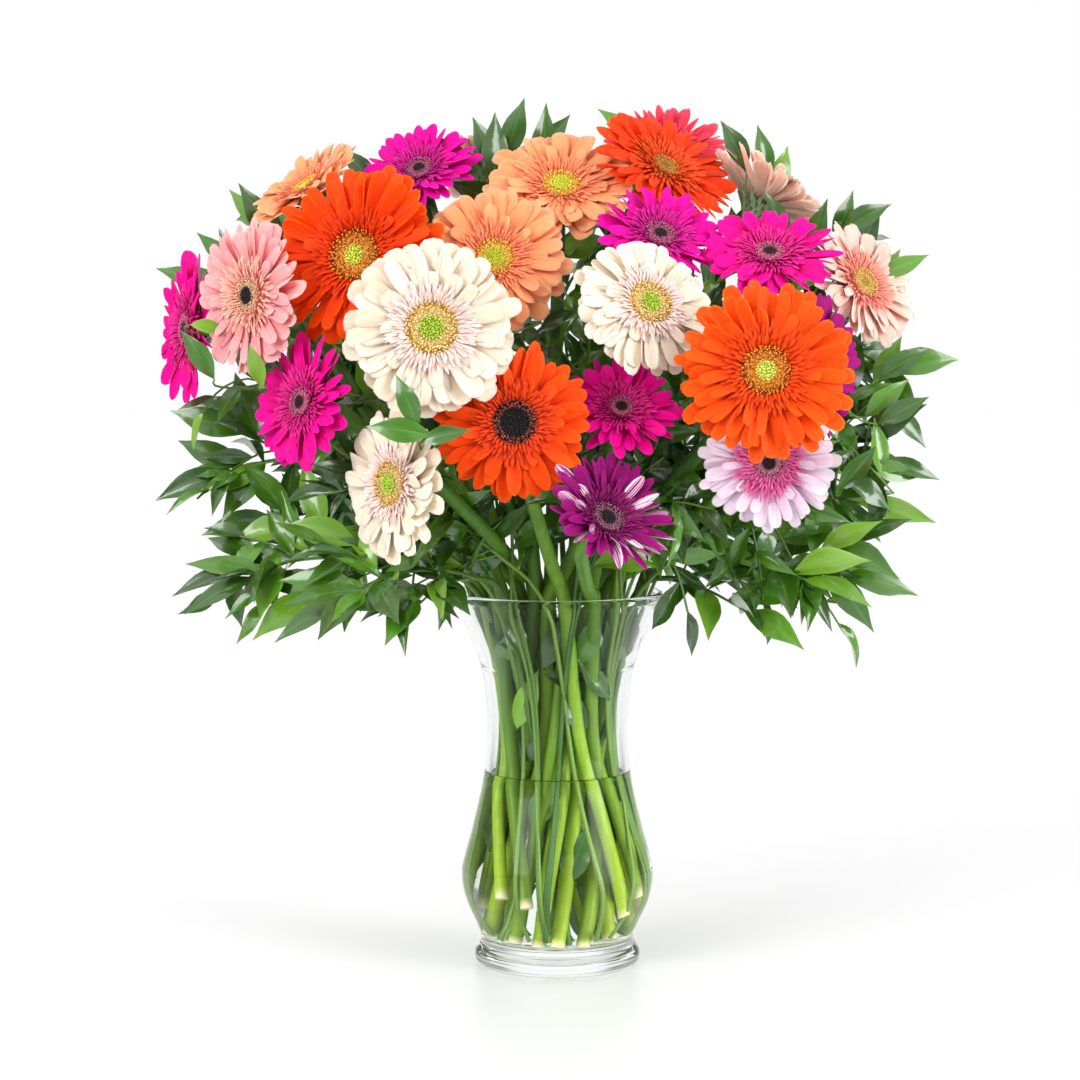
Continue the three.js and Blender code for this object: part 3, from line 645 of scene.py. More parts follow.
def disc_tree():
    """Florets by the golden angle, on a low mound which the tree is given as its geometry"""
    tree, given = new_tree("disc", Buds="parts", Florets="parts", Finish="finish", Count=420,
                           Radius=0.012, Mound=0.002, Height=0.0, Size=0.002, Opened=0.5, Tilt=0.8, Seed=0)
    index = add(tree, "GeometryNodeInputIndex")
    inside = add(tree, "ShaderNodeMath", {0: index.outputs[0], 1: 0.5}, operation="ADD")
    share = add(tree, "ShaderNodeMath", {0: inside.outputs[0], 1: given["Count"]}, operation="DIVIDE")
    out = add(tree, "ShaderNodeMath", {0: share.outputs[0]}, operation="SQRT").outputs[0]
    angle = add(tree, "ShaderNodeMath", {0: index.outputs[0], 1: GOLDEN_ANGLE},
                operation="MULTIPLY").outputs[0]
    profile = add(tree, "ShaderNodeFloatCurve", {"Value": out})
    line = profile.mapping.curves[0]
    line.points[0].location = DISC_PROFILE[0]
    line.points[1].location = DISC_PROFILE[-1]
    for point in DISC_PROFILE[1:-1]:
        line.points.new(*point)
    profile.mapping.update()
    height = add(tree, "ShaderNodeMath", {0: profile.outputs[0], 1: given["Mound"], 2: given["Height"]},
                 operation="MULTIPLY_ADD")
    radius = add(tree, "ShaderNodeMath", {0: out, 1: given["Radius"]}, operation="MULTIPLY")
    root = add(tree, "ShaderNodeCombineXYZ", {"X": radius.outputs[0], "Z": height.outputs[0]})
    place = add(tree, "ShaderNodeVectorRotate", {"Vector": root.outputs[0], "Angle": angle},
                rotation_type="Z_AXIS")
    points = add(tree, "GeometryNodePoints", {"Count": given["Count"], "Position": place.outputs[0]})

    squared = add(tree, "ShaderNodeMath", {0: out, 1: out}, operation="MULTIPLY")
    tilt = add(tree, "ShaderNodeMath", {0: squared.outputs[0], 1: given["Tilt"]}, operation="MULTIPLY")
    euler = add(tree, "ShaderNodeCombineXYZ", {"Y": tilt.outputs[0], "Z": angle})
    chance = add(tree, "FunctionNodeRandomValue",
                 {"Min": (-0.25, -0.2, -0.9), "Max": (0.25, 0.2, 0.9), "Seed": given["Seed"]},
                 data_type="FLOAT_VECTOR")
    varied = add(tree, "ShaderNodeVectorMath", {0: euler.outputs[0], 1: used(chance.outputs, "Value")},
                 operation="ADD")
    rotation = add(tree, "FunctionNodeEulerToRotation", {"Euler": varied.outputs[0]})
    spread = add(tree, "FunctionNodeRandomValue", {"Min": 0.8, "Max": 1.25, "Seed": given["Seed"]},
                 data_type="FLOAT")
    scale = add(tree, "ShaderNodeMath", {0: used(spread.outputs, "Value"), 1: given["Size"]},
                operation="MULTIPLY")
    is_open = add(tree, "ShaderNodeMath", {0: out, 1: given["Opened"]}, operation="GREATER_THAN")
    is_bud = add(tree, "ShaderNodeMath", {0: out, 1: given["Opened"]}, operation="LESS_THAN")
    join = add(tree, "GeometryNodeJoinGeometry")
    for parts, chosen in ((given["Buds"], is_bud), (given["Florets"], is_open)):
        placed = place_variants(tree, parts, given["Seed"],
                                {"Points": points.outputs[0], "Selection": chosen.outputs[0],
                                 "Rotation": rotation.outputs[0], "Scale": scale.outputs[0]})
        tree.links.new(placed, join.inputs[0])
    marked = give_shades(tree, join.outputs[0], given["Seed"])

    here = add(tree, "GeometryNodeInputPosition")
    flat = add(tree, "ShaderNodeVectorMath", {0: here.outputs[0], 1: (1, 1, 0)}, operation="MULTIPLY")
    distance = add(tree, "ShaderNodeVectorMath", {0: flat.outputs[0]}, operation="LENGTH")
    zone = add(tree, "ShaderNodeMath", {0: used(distance.outputs, "Value"), 1: given["Radius"]},
               operation="DIVIDE")
    real = add(tree, "GeometryNodeRealizeInstances", {"Geometry": marked})
    both = add(tree, "GeometryNodeJoinGeometry")
    tree.links.new(given["Geometry"], both.inputs[0])
    tree.links.new(real.outputs[0], both.inputs[0])
    zoned = add(tree, "GeometryNodeStoreNamedAttribute",
                {"Geometry": both.outputs[0], "Name": "zone", "Value": zone.outputs[0]},
                data_type="FLOAT", domain="POINT")
    finish_tree(tree, zoned.outputs[0], given["Finish"])
    return tree


disc = disc_tree()
print("disc tree:", len(disc.nodes), "nodes")

# %% [markdown]
# ## Kinds of bloom
# The bunch mixes many garden kinds. They differ in colour, in how many petals stand in a row
# and how wide those are, in whether the tips are round or pointed, and in whether the eye of
# the disc is green or nearly black. Everything that differs is in one table: colours are as
# they read in plain daylight, widths are shares of the bloom's own reach, and pale kinds are
# thin enough for light to come through their backs.

# %% Kinds of bloom
KINDS = {
    "fuchsia": {
        "slot": "petals_hot_pink", "petals": pointed_petals, "each": 12, "short": 9, "width": 0.225,
        "root": "c00064", "middle": "f0048c", "tip": "f80c98", "back": "f070b4", "vein": "c80074",
        "strap_root": "b40460", "strap_tip": "f8309c", "ring": "780838", "ring_tip": "f080a8",
        "eye": "30061c", "opened": 0.5, "disc": 0.2},
    "magenta": {
        "slot": "petals_magenta", "petals": pointed_petals, "each": 12, "short": 9, "width": 0.22,
        "root": "b0006c", "middle": "e80498", "tip": "f00ca4", "back": "ec6cbc", "vein": "b80078",
        "strap_root": "98045c", "strap_tip": "ec24a4", "ring": "500828", "ring_tip": "d8709c",
        "eye": "1c0412", "opened": 0.45, "disc": 0.23},
    "violet": {
        "slot": "petals_purple", "petals": pointed_petals, "each": 13, "short": 9, "width": 0.205,
        "root": "70064c", "middle": "a00870", "tip": "b01480", "back": "c85ca4", "vein": "68064c",
        "strap_root": "600440", "strap_tip": "b42484", "ring": "38061c", "ring_tip": "c87898",
        "eye": "14030e", "opened": 0.5, "disc": 0.25},
    "streaked violet": {
        "slot": "petals_purple", "petals": pointed_petals, "each": 14, "short": 9, "width": 0.175,
        "root": "640644", "middle": "900868", "tip": "a81480", "back": "cc6cb0", "vein": "5c0648",
        "strap_root": "500434", "strap_tip": "a01c70", "ring": "30061c", "ring_tip": "b06c84",
        "eye": "12030c", "opened": 0.5, "disc": 0.25, "streak": "f0dcec"},
    "blush": {
        "slot": "petals_light_pink", "petals": round_petals, "each": 17, "short": 10, "width": 0.205,
        "root": "fc7c80", "middle": "ffa4a4", "tip": "ffbcb8", "back": "ffccca", "vein": "fc8c90",
        "strap_root": "f08c7c", "strap_tip": "fccab4", "ring": "d89058", "ring_tip": "fcdcb0",
        "eye": "20080c", "opened": 0.55, "disc": 0.22, "thin": 0.7},
    "shell": {
        "slot": "petals_light_pink", "petals": round_petals, "each": 16, "short": 10, "width": 0.215,
        "root": "ffa090", "middle": "ffc8b8", "tip": "ffd2c4", "back": "ffc4b0", "vein": "ffb4a4",
        "strap_root": "f07868", "strap_tip": "fcb09c", "ring": "e0a040", "ring_tip": "f8d880",
        "eye": "c0a438", "opened": 0.4, "disc": 0.22, "thin": 1.0},
    "apricot": {
        "slot": "petals_peach", "petals": round_petals, "each": 15, "short": 10, "width": 0.27,
        "root": "fc7844", "middle": "ff9e6c", "tip": "ffae84", "back": "ffb494", "vein": "fc8c5c",
        "strap_root": "f07048", "strap_tip": "fca074", "ring": "e8a030", "ring_tip": "f4d058",
        "eye": "ccd032", "opened": 0.55, "disc": 0.24, "thin": 0.7},
    "salmon": {
        "slot": "petals_salmon", "petals": round_petals, "each": 15, "short": 10, "width": 0.23,
        "root": "f88470", "middle": "ffac98", "tip": "ffbcaa", "back": "ffc0b4", "vein": "f89480",
        "strap_root": "d87058", "strap_tip": "f4a488", "ring": "d09848", "ring_tip": "e8c070",
        "eye": "b8a848", "opened": 0.5, "disc": 0.24, "thin": 0.9},
    "flame": {
        "slot": "petals_red_orange", "petals": round_petals, "each": 20, "short": 12, "width": 0.185,
        "root": "e82c04", "middle": "fe4606", "tip": "ff520a", "back": "f87034", "vein": "ec3804",
        "strap_root": "d42404", "strap_tip": "fa480c", "ring": "c45c0c", "ring_tip": "f0a028",
        "eye": "dce44c", "opened": 0.4, "disc": 0.27},
    "tangerine": {
        "slot": "petals_orange", "petals": round_petals, "each": 19, "short": 12, "width": 0.195,
        "root": "f03808", "middle": "fe4e0c", "tip": "ff5a12", "back": "fa7c40", "vein": "ee4808",
        "strap_root": "dc3408", "strap_tip": "fa5010", "ring": "c05c0c", "ring_tip": "f09c24",
        "eye": "dae260", "opened": 0.42, "disc": 0.26},
    "ember": {
        "slot": "petals_orange", "petals": pointed_petals, "each": 14, "short": 14, "width": 0.235,
        "root": "f03008", "middle": "fe480a", "tip": "ff5810", "back": "fa7c40", "vein": "ec4408",
        "strap_root": "d02408", "strap_tip": "f8501c", "ring": "30040a", "ring_tip": "b05848",
        "eye": "140408", "opened": 0.74, "disc": 0.26},
    "scarlet": {
        "slot": "petals_scarlet", "petals": pointed_petals, "each": 17, "short": 10, "width": 0.175,
        "root": "d82408", "middle": "f63e14", "tip": "fa481c", "back": "f06c48", "vein": "d8300c",
        "strap_root": "cc2c08", "strap_tip": "f45820", "ring": "b06018", "ring_tip": "dca040",
        "eye": "98701c", "opened": 0.4, "disc": 0.17},
    "raspberry": {
        "slot": "petals_coral", "petals": pointed_petals, "each": 14, "short": 9, "width": 0.195,
        "root": "cc2440", "middle": "ee3c54", "tip": "f25064", "back": "f07884", "vein": "cc2c48",
        "strap_root": "bc2038", "strap_tip": "ec5060", "ring": "902034", "ring_tip": "d88888",
        "eye": "681824", "opened": 0.5, "disc": 0.22},
    "cream": {
        "slot": "petals_ivory", "petals": round_petals, "each": 16, "short": 10, "width": 0.265,
        "root": "f4d8c6", "middle": "f6e4cc", "tip": "f8e8d4", "back": "f6e6ce", "vein": "ead2b6",
        "strap_root": "fcd4c8", "strap_tip": "fee8e0", "ring": "e8b450", "ring_tip": "f6e094",
        "eye": "b4d040", "opened": 0.48, "disc": 0.28, "thin": 0.6},
    "lilac": {
        "slot": "petals_lilac", "petals": round_petals, "each": 15, "short": 10, "width": 0.21,
        "root": "f09ccc", "middle": "fcdaee", "tip": "fee8f6", "back": "fae4f4", "vein": "f4c4e2",
        "strap_root": "d02478", "strap_tip": "f484bc", "ring": "a81c54", "ring_tip": "e4a8c0",
        "eye": "380a1c", "opened": 0.5, "disc": 0.2, "thin": 0.8},
}
BLOOM_KINDS = [
    "fuchsia", "blush", "apricot", "flame", "cream", "magenta", "salmon", "apricot", "apricot", "scarlet",
    "raspberry", "magenta", "fuchsia", "shell", "shell", "cream", "tangerine", "violet", "fuchsia", "ember",
    "streaked violet", "lilac", "cream", "fuchsia",
]
print(len(KINDS), "kinds of bloom")

# %% [markdown]
# ## Petal tissue
# A petal is thin living tissue. Light goes a little way in and comes out near by, which the
# subsurface socket gives, and its fine cells make it matt. Its colour deepens or pales from
# root to tip, fine veins run along it, and no two petals are quite alike, so the whorl's own
# random shade drives the value. In most kinds the lower face is paler than the upper one.

# %% Petal tissue
VEINS_ACROSS = 7
VEIN_DEPTH = 0.22 * MM
SUBSURFACE_REACH = 1.4 * MM


def petal_finish(name, look):
    """Matt living tissue: a back of its own colour, veins along it, drifting from root to tip"""
    material, tree, shader = new_material(
        f"petal tissue {name}", Roughness=0.55, Subsurface_Weight=look.get("thin", 0.4),
        Subsurface_Scale=SUBSURFACE_REACH, Subsurface_Radius=(1.0, 0.95, 0.9), IOR=1.42,
        Specular_IOR_Level=0.12)
    place = add(tree, "ShaderNodeUVMap", uv_map="blade")
    along = add(tree, "ShaderNodeSeparateXYZ", {"Vector": place.outputs[0]}).outputs["X"]
    drift = add(tree, "ShaderNodeValToRGB", {"Fac": along})
    drift.color_ramp.elements[0].color = linear(look["root"])
    drift.color_ramp.elements[0].position = 0.12
    drift.color_ramp.elements[1].color = linear(look["tip"])
    drift.color_ramp.elements.new(0.5).color = linear(look["middle"])
    shade = add(tree, "ShaderNodeAttribute", attribute_name="shade").outputs["Fac"]
    strip = add(tree, "ShaderNodeMapping", {"Vector": place.outputs[0], "Scale": (0.8, VEINS_ACROSS, 1.0)})
    moved = add(tree, "ShaderNodeCombineXYZ", {"X": shade, "Z": shade})
    own = add(tree, "ShaderNodeVectorMath", {0: moved.outputs[0], "Scale": 40.0}, operation="SCALE")
    sample = add(tree, "ShaderNodeVectorMath", {0: strip.outputs[0], 1: own.outputs[0]}, operation="ADD")
    veins = add(tree, "ShaderNodeTexNoise", {"Vector": sample.outputs[0], "Scale": 1.0, "Detail": 2.0})
    lines = add(tree, "ShaderNodeMapRange", {"Value": veins.outputs["Fac"], "From Min": 0.42,
                                             "From Max": 0.7, "To Max": 0.55})
    veined = add(tree, "ShaderNodeMix", {"Factor": used(lines.outputs, "Result"),
                                         "A": drift.outputs["Color"], "B": linear(look["vein"])},
                 data_type="RGBA")
    tissue = used(veined.outputs, "Result")
    if "streak" in look:
        some = add(tree, "ShaderNodeMapRange", {"Value": shade, "From Min": 0.62, "From Max": 0.85})
        stripe = add(tree, "ShaderNodeMapRange", {"Value": veins.outputs["Fac"], "From Min": 0.45,
                                                  "From Max": 0.56})
        both = add(tree, "ShaderNodeMath", {0: used(some.outputs, "Result"),
                                            1: used(stripe.outputs, "Result")}, operation="MULTIPLY")
        streaked = add(tree, "ShaderNodeMix", {"Factor": both.outputs[0], "A": tissue,
                                               "B": linear(look["streak"])}, data_type="RGBA")
        tissue = used(streaked.outputs, "Result")
    value = add(tree, "ShaderNodeMapRange", {"Value": shade, "To Min": 0.9, "To Max": 1.05})
    varied = add(tree, "ShaderNodeHueSaturation", {"Value": used(value.outputs, "Result"), "Color": tissue})
    upper = add(tree, "ShaderNodeAttribute", attribute_name="upper").outputs["Fac"]
    side = add(tree, "ShaderNodeMapRange", {"Value": upper, "From Min": 0.1, "From Max": 0.5})
    faced = add(tree, "ShaderNodeMix", {"Factor": used(side.outputs, "Result"),
                                        "A": linear(look["back"]), "B": varied.outputs[0]},
                data_type="RGBA")
    tree.links.new(used(faced.outputs, "Result"), shader.inputs["Base Color"])
    bump = add(tree, "ShaderNodeBump", {"Strength": 0.6, "Distance": VEIN_DEPTH,
                                        "Height": veins.outputs["Fac"]})
    tree.links.new(bump.outputs[0], shader.inputs["Normal"])
    return material


# %% Straps and disc
def strap_finish(name, look):
    """The inner florets: softer tissue, deep at the root and pale at the tip"""
    material, tree, shader = new_material(f"strap tissue {name}", Roughness=0.55, Subsurface_Weight=0.3,
                                          Subsurface_Radius=(1.0, 0.95, 0.9), Subsurface_Scale=0.8 * MM,
                                          Specular_IOR_Level=0.12)
    place = add(tree, "ShaderNodeUVMap", uv_map="blade")
    along = add(tree, "ShaderNodeSeparateXYZ", {"Vector": place.outputs[0]}).outputs["X"]
    drift = add(tree, "ShaderNodeValToRGB", {"Fac": along})
    drift.color_ramp.elements[0].color = linear(look["strap_root"])
    drift.color_ramp.elements[0].position = 0.15
    drift.color_ramp.elements[1].color = linear(look["strap_tip"])
    shade = add(tree, "ShaderNodeAttribute", attribute_name="shade").outputs["Fac"]
    value = add(tree, "ShaderNodeMapRange", {"Value": shade, "To Min": 0.85, "To Max": 1.1})
    varied = add(tree, "ShaderNodeHueSaturation", {"Value": used(value.outputs, "Result"),
                                                   "Color": drift.outputs["Color"]})
    tree.links.new(varied.outputs[0], shader.inputs["Base Color"])
    return material


def disc_finish(name, look):
    """The disc: the eye's colour within, and a ring of open florets whose tips are paler"""
    material, tree, shader = new_material(f"disc florets {name}", Roughness=0.6)
    zone = add(tree, "ShaderNodeAttribute", attribute_name="zone").outputs["Fac"]
    ringed = add(tree, "ShaderNodeMapRange", {"Value": zone, "From Min": look["opened"] - 0.08,
                                              "From Max": look["opened"] + 0.08})
    tip = add(tree, "ShaderNodeAttribute", attribute_name="tip").outputs["Fac"]
    ends = add(tree, "ShaderNodeMapRange", {"Value": tip, "From Min": 0.5, "From Max": 0.85})
    ring = add(tree, "ShaderNodeMix", {"Factor": used(ends.outputs, "Result"), "A": linear(look["ring"]),
                                       "B": linear(look["ring_tip"])}, data_type="RGBA")
    deep = add(tree, "ShaderNodeMapRange", {"Value": tip, "To Min": 0.62, "To Max": 1.1})
    eye = add(tree, "ShaderNodeHueSaturation", {"Value": used(deep.outputs, "Result"),
                                                "Color": linear(look["eye"])})
    both = add(tree, "ShaderNodeMix", {"Factor": used(ringed.outputs, "Result"), "A": eye.outputs[0],
                                       "B": used(ring.outputs, "Result")}, data_type="RGBA")
    shade = add(tree, "ShaderNodeAttribute", attribute_name="shade").outputs["Fac"]
    value = add(tree, "ShaderNodeMapRange", {"Value": shade, "To Min": 0.8, "To Max": 1.12})
    varied = add(tree, "ShaderNodeHueSaturation", {"Value": used(value.outputs, "Result"),
                                                   "Color": used(both.outputs, "Result")})
    tree.links.new(varied.outputs[0], shader.inputs["Base Color"])
    return material


for name, look in KINDS.items():
    look["finishes"] = [petal_finish(name, look), strap_finish(name, look), disc_finish(name, look)]
print("finishes of blooms:", 3 * len(KINDS))

# %% [markdown]
# ## The heads
# A head is three rows of long petals, a thin row of short ones that lies on them, six rows of
# narrow inner florets that stand ever more upright towards the middle, and the disc. All sizes
# are shares of the bloom's own reach, which was measured on the frame, so a small bloom is a
# small copy of a large one.

# %% Growing the heads
ROOT_SHARE = 0.16
STRAP_SHARE = 0.37
STRAP_ROWS = 6
ROW_RISE = 1.1 * MM
LIFT_STEP = math.radians(2.5)
ROOT_LEVEL = -4.7 * MM
DISC_LEVEL = 0.5 * MM


def ray_meshes(bloom, look, seed):
    """The long and the short petals of one bloom, in place"""
    reach, lift = bloom["reach"], bloom["lift"]
    length = (1.01 - ROOT_SHARE) * reach / math.cos(lift)
    long_rows = grow(whorl, place=bloom["place"], Parts=look["petals"], Finish=look["finishes"][0],
                     Each=look["each"], Rows=3, Radius=ROOT_SHARE * reach, Inward=-0.01 * reach,
                     Height=ROOT_LEVEL, Rise=ROW_RISE, Lift=lift, LiftStep=LIFT_STEP, Length=length,
                     Width=look["width"] * reach, Shorten=0.05, Chance=(0.18, 0.055, 0.075),
                     Least=(0.88, 0.82, 0.7), Most=(1.04, 1.1, 1.4), Roll=0.06, Seed=seed)
    short_rows = grow(whorl, place=bloom["place"], Parts=look["petals"], Finish=look["finishes"][0],
                      Each=look["short"], Rows=1, Radius=0.2 * reach, Height=ROOT_LEVEL + 3 * ROW_RISE,
                      Lift=lift + 4 * LIFT_STEP, Length=0.6 * length, Width=0.7 * look["width"] * reach,
                      Chance=(0.25, 0.09, 0.3), Least=(0.75, 0.8, 0.8), Most=(1.1, 1.15, 1.4), Roll=0.1,
                      Seed=seed + 50)
    return [long_rows, short_rows]


def disc_meshes(bloom, look, seed):
    """The inner florets and the disc of one bloom, in place"""
    reach = bloom["reach"]
    disc_radius = look["disc"] * reach
    slope = math.tan(bloom["lift"] + 3 * LIFT_STEP)
    strap_level = ROOT_LEVEL + 3.3 * ROW_RISE + slope * (STRAP_SHARE - ROOT_SHARE) * reach
    inner = grow(whorl, place=bloom["place"], Parts=straps, Finish=look["finishes"][1], Each=40,
                 Rows=STRAP_ROWS, Radius=STRAP_SHARE * reach, Height=strap_level,
                 Inward=(0.98 * look["disc"] - STRAP_SHARE) * reach / (STRAP_ROWS - 1),
                 Rise=(DISC_LEVEL - strap_level) / (STRAP_ROWS - 1), Lift=bloom["lift"] + math.radians(9),
                 LiftStep=math.radians(9), Length=0.19 * reach, Width=0.037 * reach, Shorten=0.075,
                 Chance=(0.5, 0.17, 0.16), Least=(0.75, 0.8, 1.0), Most=(1.15, 1.2, 1.0), Seed=seed + 100)
    mound = spindle("mound", [(-3 * MM, disc_radius), (0.2 * MM, disc_radius * 0.96),
                              (1.1 * MM, disc_radius * 0.6), (0.9 * MM, 0.3 * MM)], 24)
    middle = grow(disc, start=mound, place=bloom["place"], Buds=buds, Florets=open_florets,
                  Finish=look["finishes"][2], Count=340, Radius=disc_radius, Mound=1.3 * MM,
                  Height=0.1 * MM, Size=0.15 * disc_radius, Opened=look["opened"], Tilt=0.7,
                  Seed=seed + 200)
    return [inner, middle]


for number, (bloom, kind) in enumerate(zip(blooms, BLOOM_KINDS), 1):
    look = KINDS[kind]
    node = f"bloom_{number:02d}"
    rays = make_piece(f"petals_{number:02d}", ray_meshes(bloom, look, number), [node])
    middle = make_piece(f"disc_{number:02d}", disc_meshes(bloom, look, number), [node])
print("faces in the last head:", len(rays.data.polygons), "and", len(middle.data.polygons))

# %% [markdown]
# ## Stalks
# Stems and twigs are tubes along a line. The tree takes bare edges with a thickness at each
# corner, turns them into smooth curves through those corners, and sweeps a circle along them.
# It also stores how far each point is from the cut end, for the colour of the cut and for the
# fine rings that cross a stem.


# %% The stalk tree
def stalk_tree():
    """Smooth tubes along edges, as thick as the attribute thick says"""
    tree, given = new_tree("stalk", Finish="finish", Sides=10, Step=0.006)
    curve = add(tree, "GeometryNodeMeshToCurve", {"Mesh": given["Geometry"]})
    thick = add(tree, "GeometryNodeInputNamedAttribute", {"Name": "thick"}, data_type="FLOAT").outputs[0]
    smooth = add(tree, "GeometryNodeCurveSplineType", {"Curve": curve.outputs[0]},
                 spline_type="CATMULL_ROM")
    even = add(tree, "GeometryNodeResampleCurve", {"Curve": smooth.outputs[0]}, mode="LENGTH")
    tree.links.new(given["Step"], even.inputs["Length"])
    length = add(tree, "GeometryNodeSplineParameter").outputs["Length"]
    marked = add(tree, "GeometryNodeStoreNamedAttribute",
                 {"Geometry": even.outputs[0], "Name": "from_cut", "Value": length},
                 data_type="FLOAT", domain="POINT")
    circle = add(tree, "GeometryNodeCurvePrimitiveCircle", {"Resolution": given["Sides"], "Radius": 1.0})
    tube = add(tree, "GeometryNodeCurveToMesh",
               {"Curve": marked.outputs[0], "Profile Curve": circle.outputs[0], "Scale": thick,
                "Fill Caps": True})
    finish_tree(tree, tube.outputs[0], given["Finish"])
    return tree


def edges_mesh(lines, seed=0):
    """Bare edges along lines of (point, radius), each line with a tone of its own"""
    chance = np.random.default_rng(seed)
    points, edges, radii, tones = [], [], [], []
    for line in lines:
        first = len(points)
        points.extend(tuple(point) for point, radius in line)
        radii.extend(radius for point, radius in line)
        tones.extend([chance.uniform(0, 1)] * len(line))
        edges.extend((first + step, first + step + 1) for step in range(len(line) - 1))
    mesh = bpy.data.meshes.new("edges")
    mesh.from_pydata(points, edges, [])
    mesh.attributes.new("thick", "FLOAT", "POINT").data.foreach_set("value", radii)
    mesh.attributes.new("tone", "FLOAT", "POINT").data.foreach_set("value", tones)
    return mesh


CUT_ANGLE = math.radians(70)
stalk = stalk_tree()


def grow_tubes(lines, finish, sides, step, seed=0):
    """Tubes along lines, with a crisp edge round each cut end"""
    mesh = grow(stalk, start=edges_mesh(lines, seed), Finish=finish, Sides=sides, Step=step)
    mesh.set_sharp_from_angle(angle=CUT_ANGLE)
    return mesh


# %% Stem and cup finishes
RING_SPACING = 9 * MM


def stem_finish():
    """A gerbera's bare stem: juicy yellow green below, deeper near the head, finely ringed"""
    material, tree, shader = new_material("gerbera stem", Roughness=0.4, Subsurface_Weight=0.15,
                                          Subsurface_Scale=1.5 * MM, Specular_IOR_Level=0.3)
    place = add(tree, "ShaderNodeTexCoord").outputs["Object"]
    height = add(tree, "ShaderNodeSeparateXYZ", {"Vector": place}).outputs["Z"]
    level = add(tree, "ShaderNodeMapRange", {"Value": height, "From Min": 0.02, "From Max": 0.42})
    fresh = add(tree, "ShaderNodeValToRGB", {"Fac": used(level.outputs, "Result")})
    fresh.color_ramp.elements[0].color = linear("b4cc30")
    fresh.color_ramp.elements[1].color = linear("44702c")
    fresh.color_ramp.elements.new(0.3).color = linear("a0c838")
    fresh.color_ramp.elements.new(0.62).color = linear("6c9c2c")
    older = add(tree, "ShaderNodeValToRGB", {"Fac": used(level.outputs, "Result")})
    older.color_ramp.elements[0].color = linear("6c8c20")
    older.color_ramp.elements[1].color = linear("284c28")
    older.color_ramp.elements.new(0.4).color = linear("548020")
    older.color_ramp.elements.new(0.65).color = linear("3c6c24")
    tone = add(tree, "ShaderNodeAttribute", attribute_name="tone").outputs["Fac"]
    own = add(tree, "ShaderNodeMix", {"Factor": tone, "A": fresh.outputs["Color"],
                                      "B": older.outputs["Color"]}, data_type="RGBA")
    streak_place = add(tree, "ShaderNodeMapping", {"Vector": place, "Scale": (260, 260, 16)})
    streaks = add(tree, "ShaderNodeTexNoise", {"Vector": streak_place.outputs[0], "Scale": 1.0,
                                               "Detail": 3.0})
    light = add(tree, "ShaderNodeMapRange", {"Value": streaks.outputs["Fac"], "From Min": 0.3,
                                             "From Max": 0.7, "To Min": 0.84, "To Max": 1.14})
    streaked = add(tree, "ShaderNodeHueSaturation", {"Value": used(light.outputs, "Result"),
                                                     "Color": used(own.outputs, "Result")})
    along = add(tree, "ShaderNodeAttribute", attribute_name="from_cut").outputs["Fac"]
    wander = add(tree, "ShaderNodeMath", {0: streaks.outputs["Fac"], 1: 0.9, 2: tone},
                 operation="MULTIPLY_ADD")
    turns = add(tree, "ShaderNodeMath", {0: along, 1: 1 / RING_SPACING, 2: wander.outputs[0]},
                operation="MULTIPLY_ADD")
    phase = add(tree, "ShaderNodeMath", {0: turns.outputs[0]}, operation="FRACT")
    ring = add(tree, "ShaderNodeMapRange", {"Value": phase.outputs[0], "From Min": 0.02, "From Max": 0.09,
                                            "To Min": 0.42, "To Max": 0.0})
    ringed = add(tree, "ShaderNodeMix", {"Factor": used(ring.outputs, "Result"),
                                         "A": streaked.outputs[0], "B": linear("5c8024")},
                 data_type="RGBA")
    healed = add(tree, "ShaderNodeMapRange", {"Value": along, "From Min": 0.5 * MM, "From Max": 6 * MM})
    ended = add(tree, "ShaderNodeMix", {"Factor": used(healed.outputs, "Result"), "A": linear("e8e0b0"),
                                        "B": used(ringed.outputs, "Result")}, data_type="RGBA")
    tree.links.new(used(ended.outputs, "Result"), shader.inputs["Base Color"])
    bump = add(tree, "ShaderNodeBump", {"Strength": 0.5, "Distance": 0.3 * MM,
                                        "Height": streaks.outputs["Fac"]})
    tree.links.new(bump.outputs[0], shader.inputs["Normal"])
    return material


def bract_finish():
    """Grey green scales of the cup, downy, with darker points"""
    material, tree, shader = new_material("downy bract", Roughness=0.7, Sheen_Weight=0.3)
    place = add(tree, "ShaderNodeUVMap", uv_map="blade")
    along = add(tree, "ShaderNodeSeparateXYZ", {"Vector": place.outputs[0]}).outputs["X"]
    drift = add(tree, "ShaderNodeValToRGB", {"Fac": along})
    drift.color_ramp.elements[0].color = linear("9cb480")
    drift.color_ramp.elements[1].color = linear("506c40")
    tree.links.new(drift.outputs["Color"], shader.inputs["Base Color"])
    return material


stem_green = stem_finish()
bract_green = bract_finish()

# %% Growing the stems
STEM_SIDES = 10
STEM_STEP = 6 * MM
CUP_WIDEST = 10.2 * MM
CUP_DEPTH = 10.2 * MM
for number, bloom in enumerate(blooms, 1):
    stem = grow_tubes([bloom["line"]], stem_green, STEM_SIDES, STEM_STEP, number)
    cup = grow(whorl, place=bloom["place"], Parts=bracts, Finish=bract_green, Each=15, Rows=4,
               Stagger=0.5, Radius=CUP_WIDEST, Inward=-1.6 * MM, Height=-CUP_DEPTH, Rise=-2.6 * MM,
               Lift=math.radians(34), LiftStep=math.radians(10), Length=11.5 * MM, Width=3.4 * MM,
               Shorten=0.12, Chance=(0.1, 0.1, 0.06), Least=(0.85, 0.85, 1), Most=(1.1, 1.1, 1),
               Seed=number + 300)
    make_piece(f"gerbera_stem_{number:02d}", [stem, cup], [f"stem_{number:02d}"])
print("faces in one stem and cup:", len(stem.polygons), len(cup.polygons))

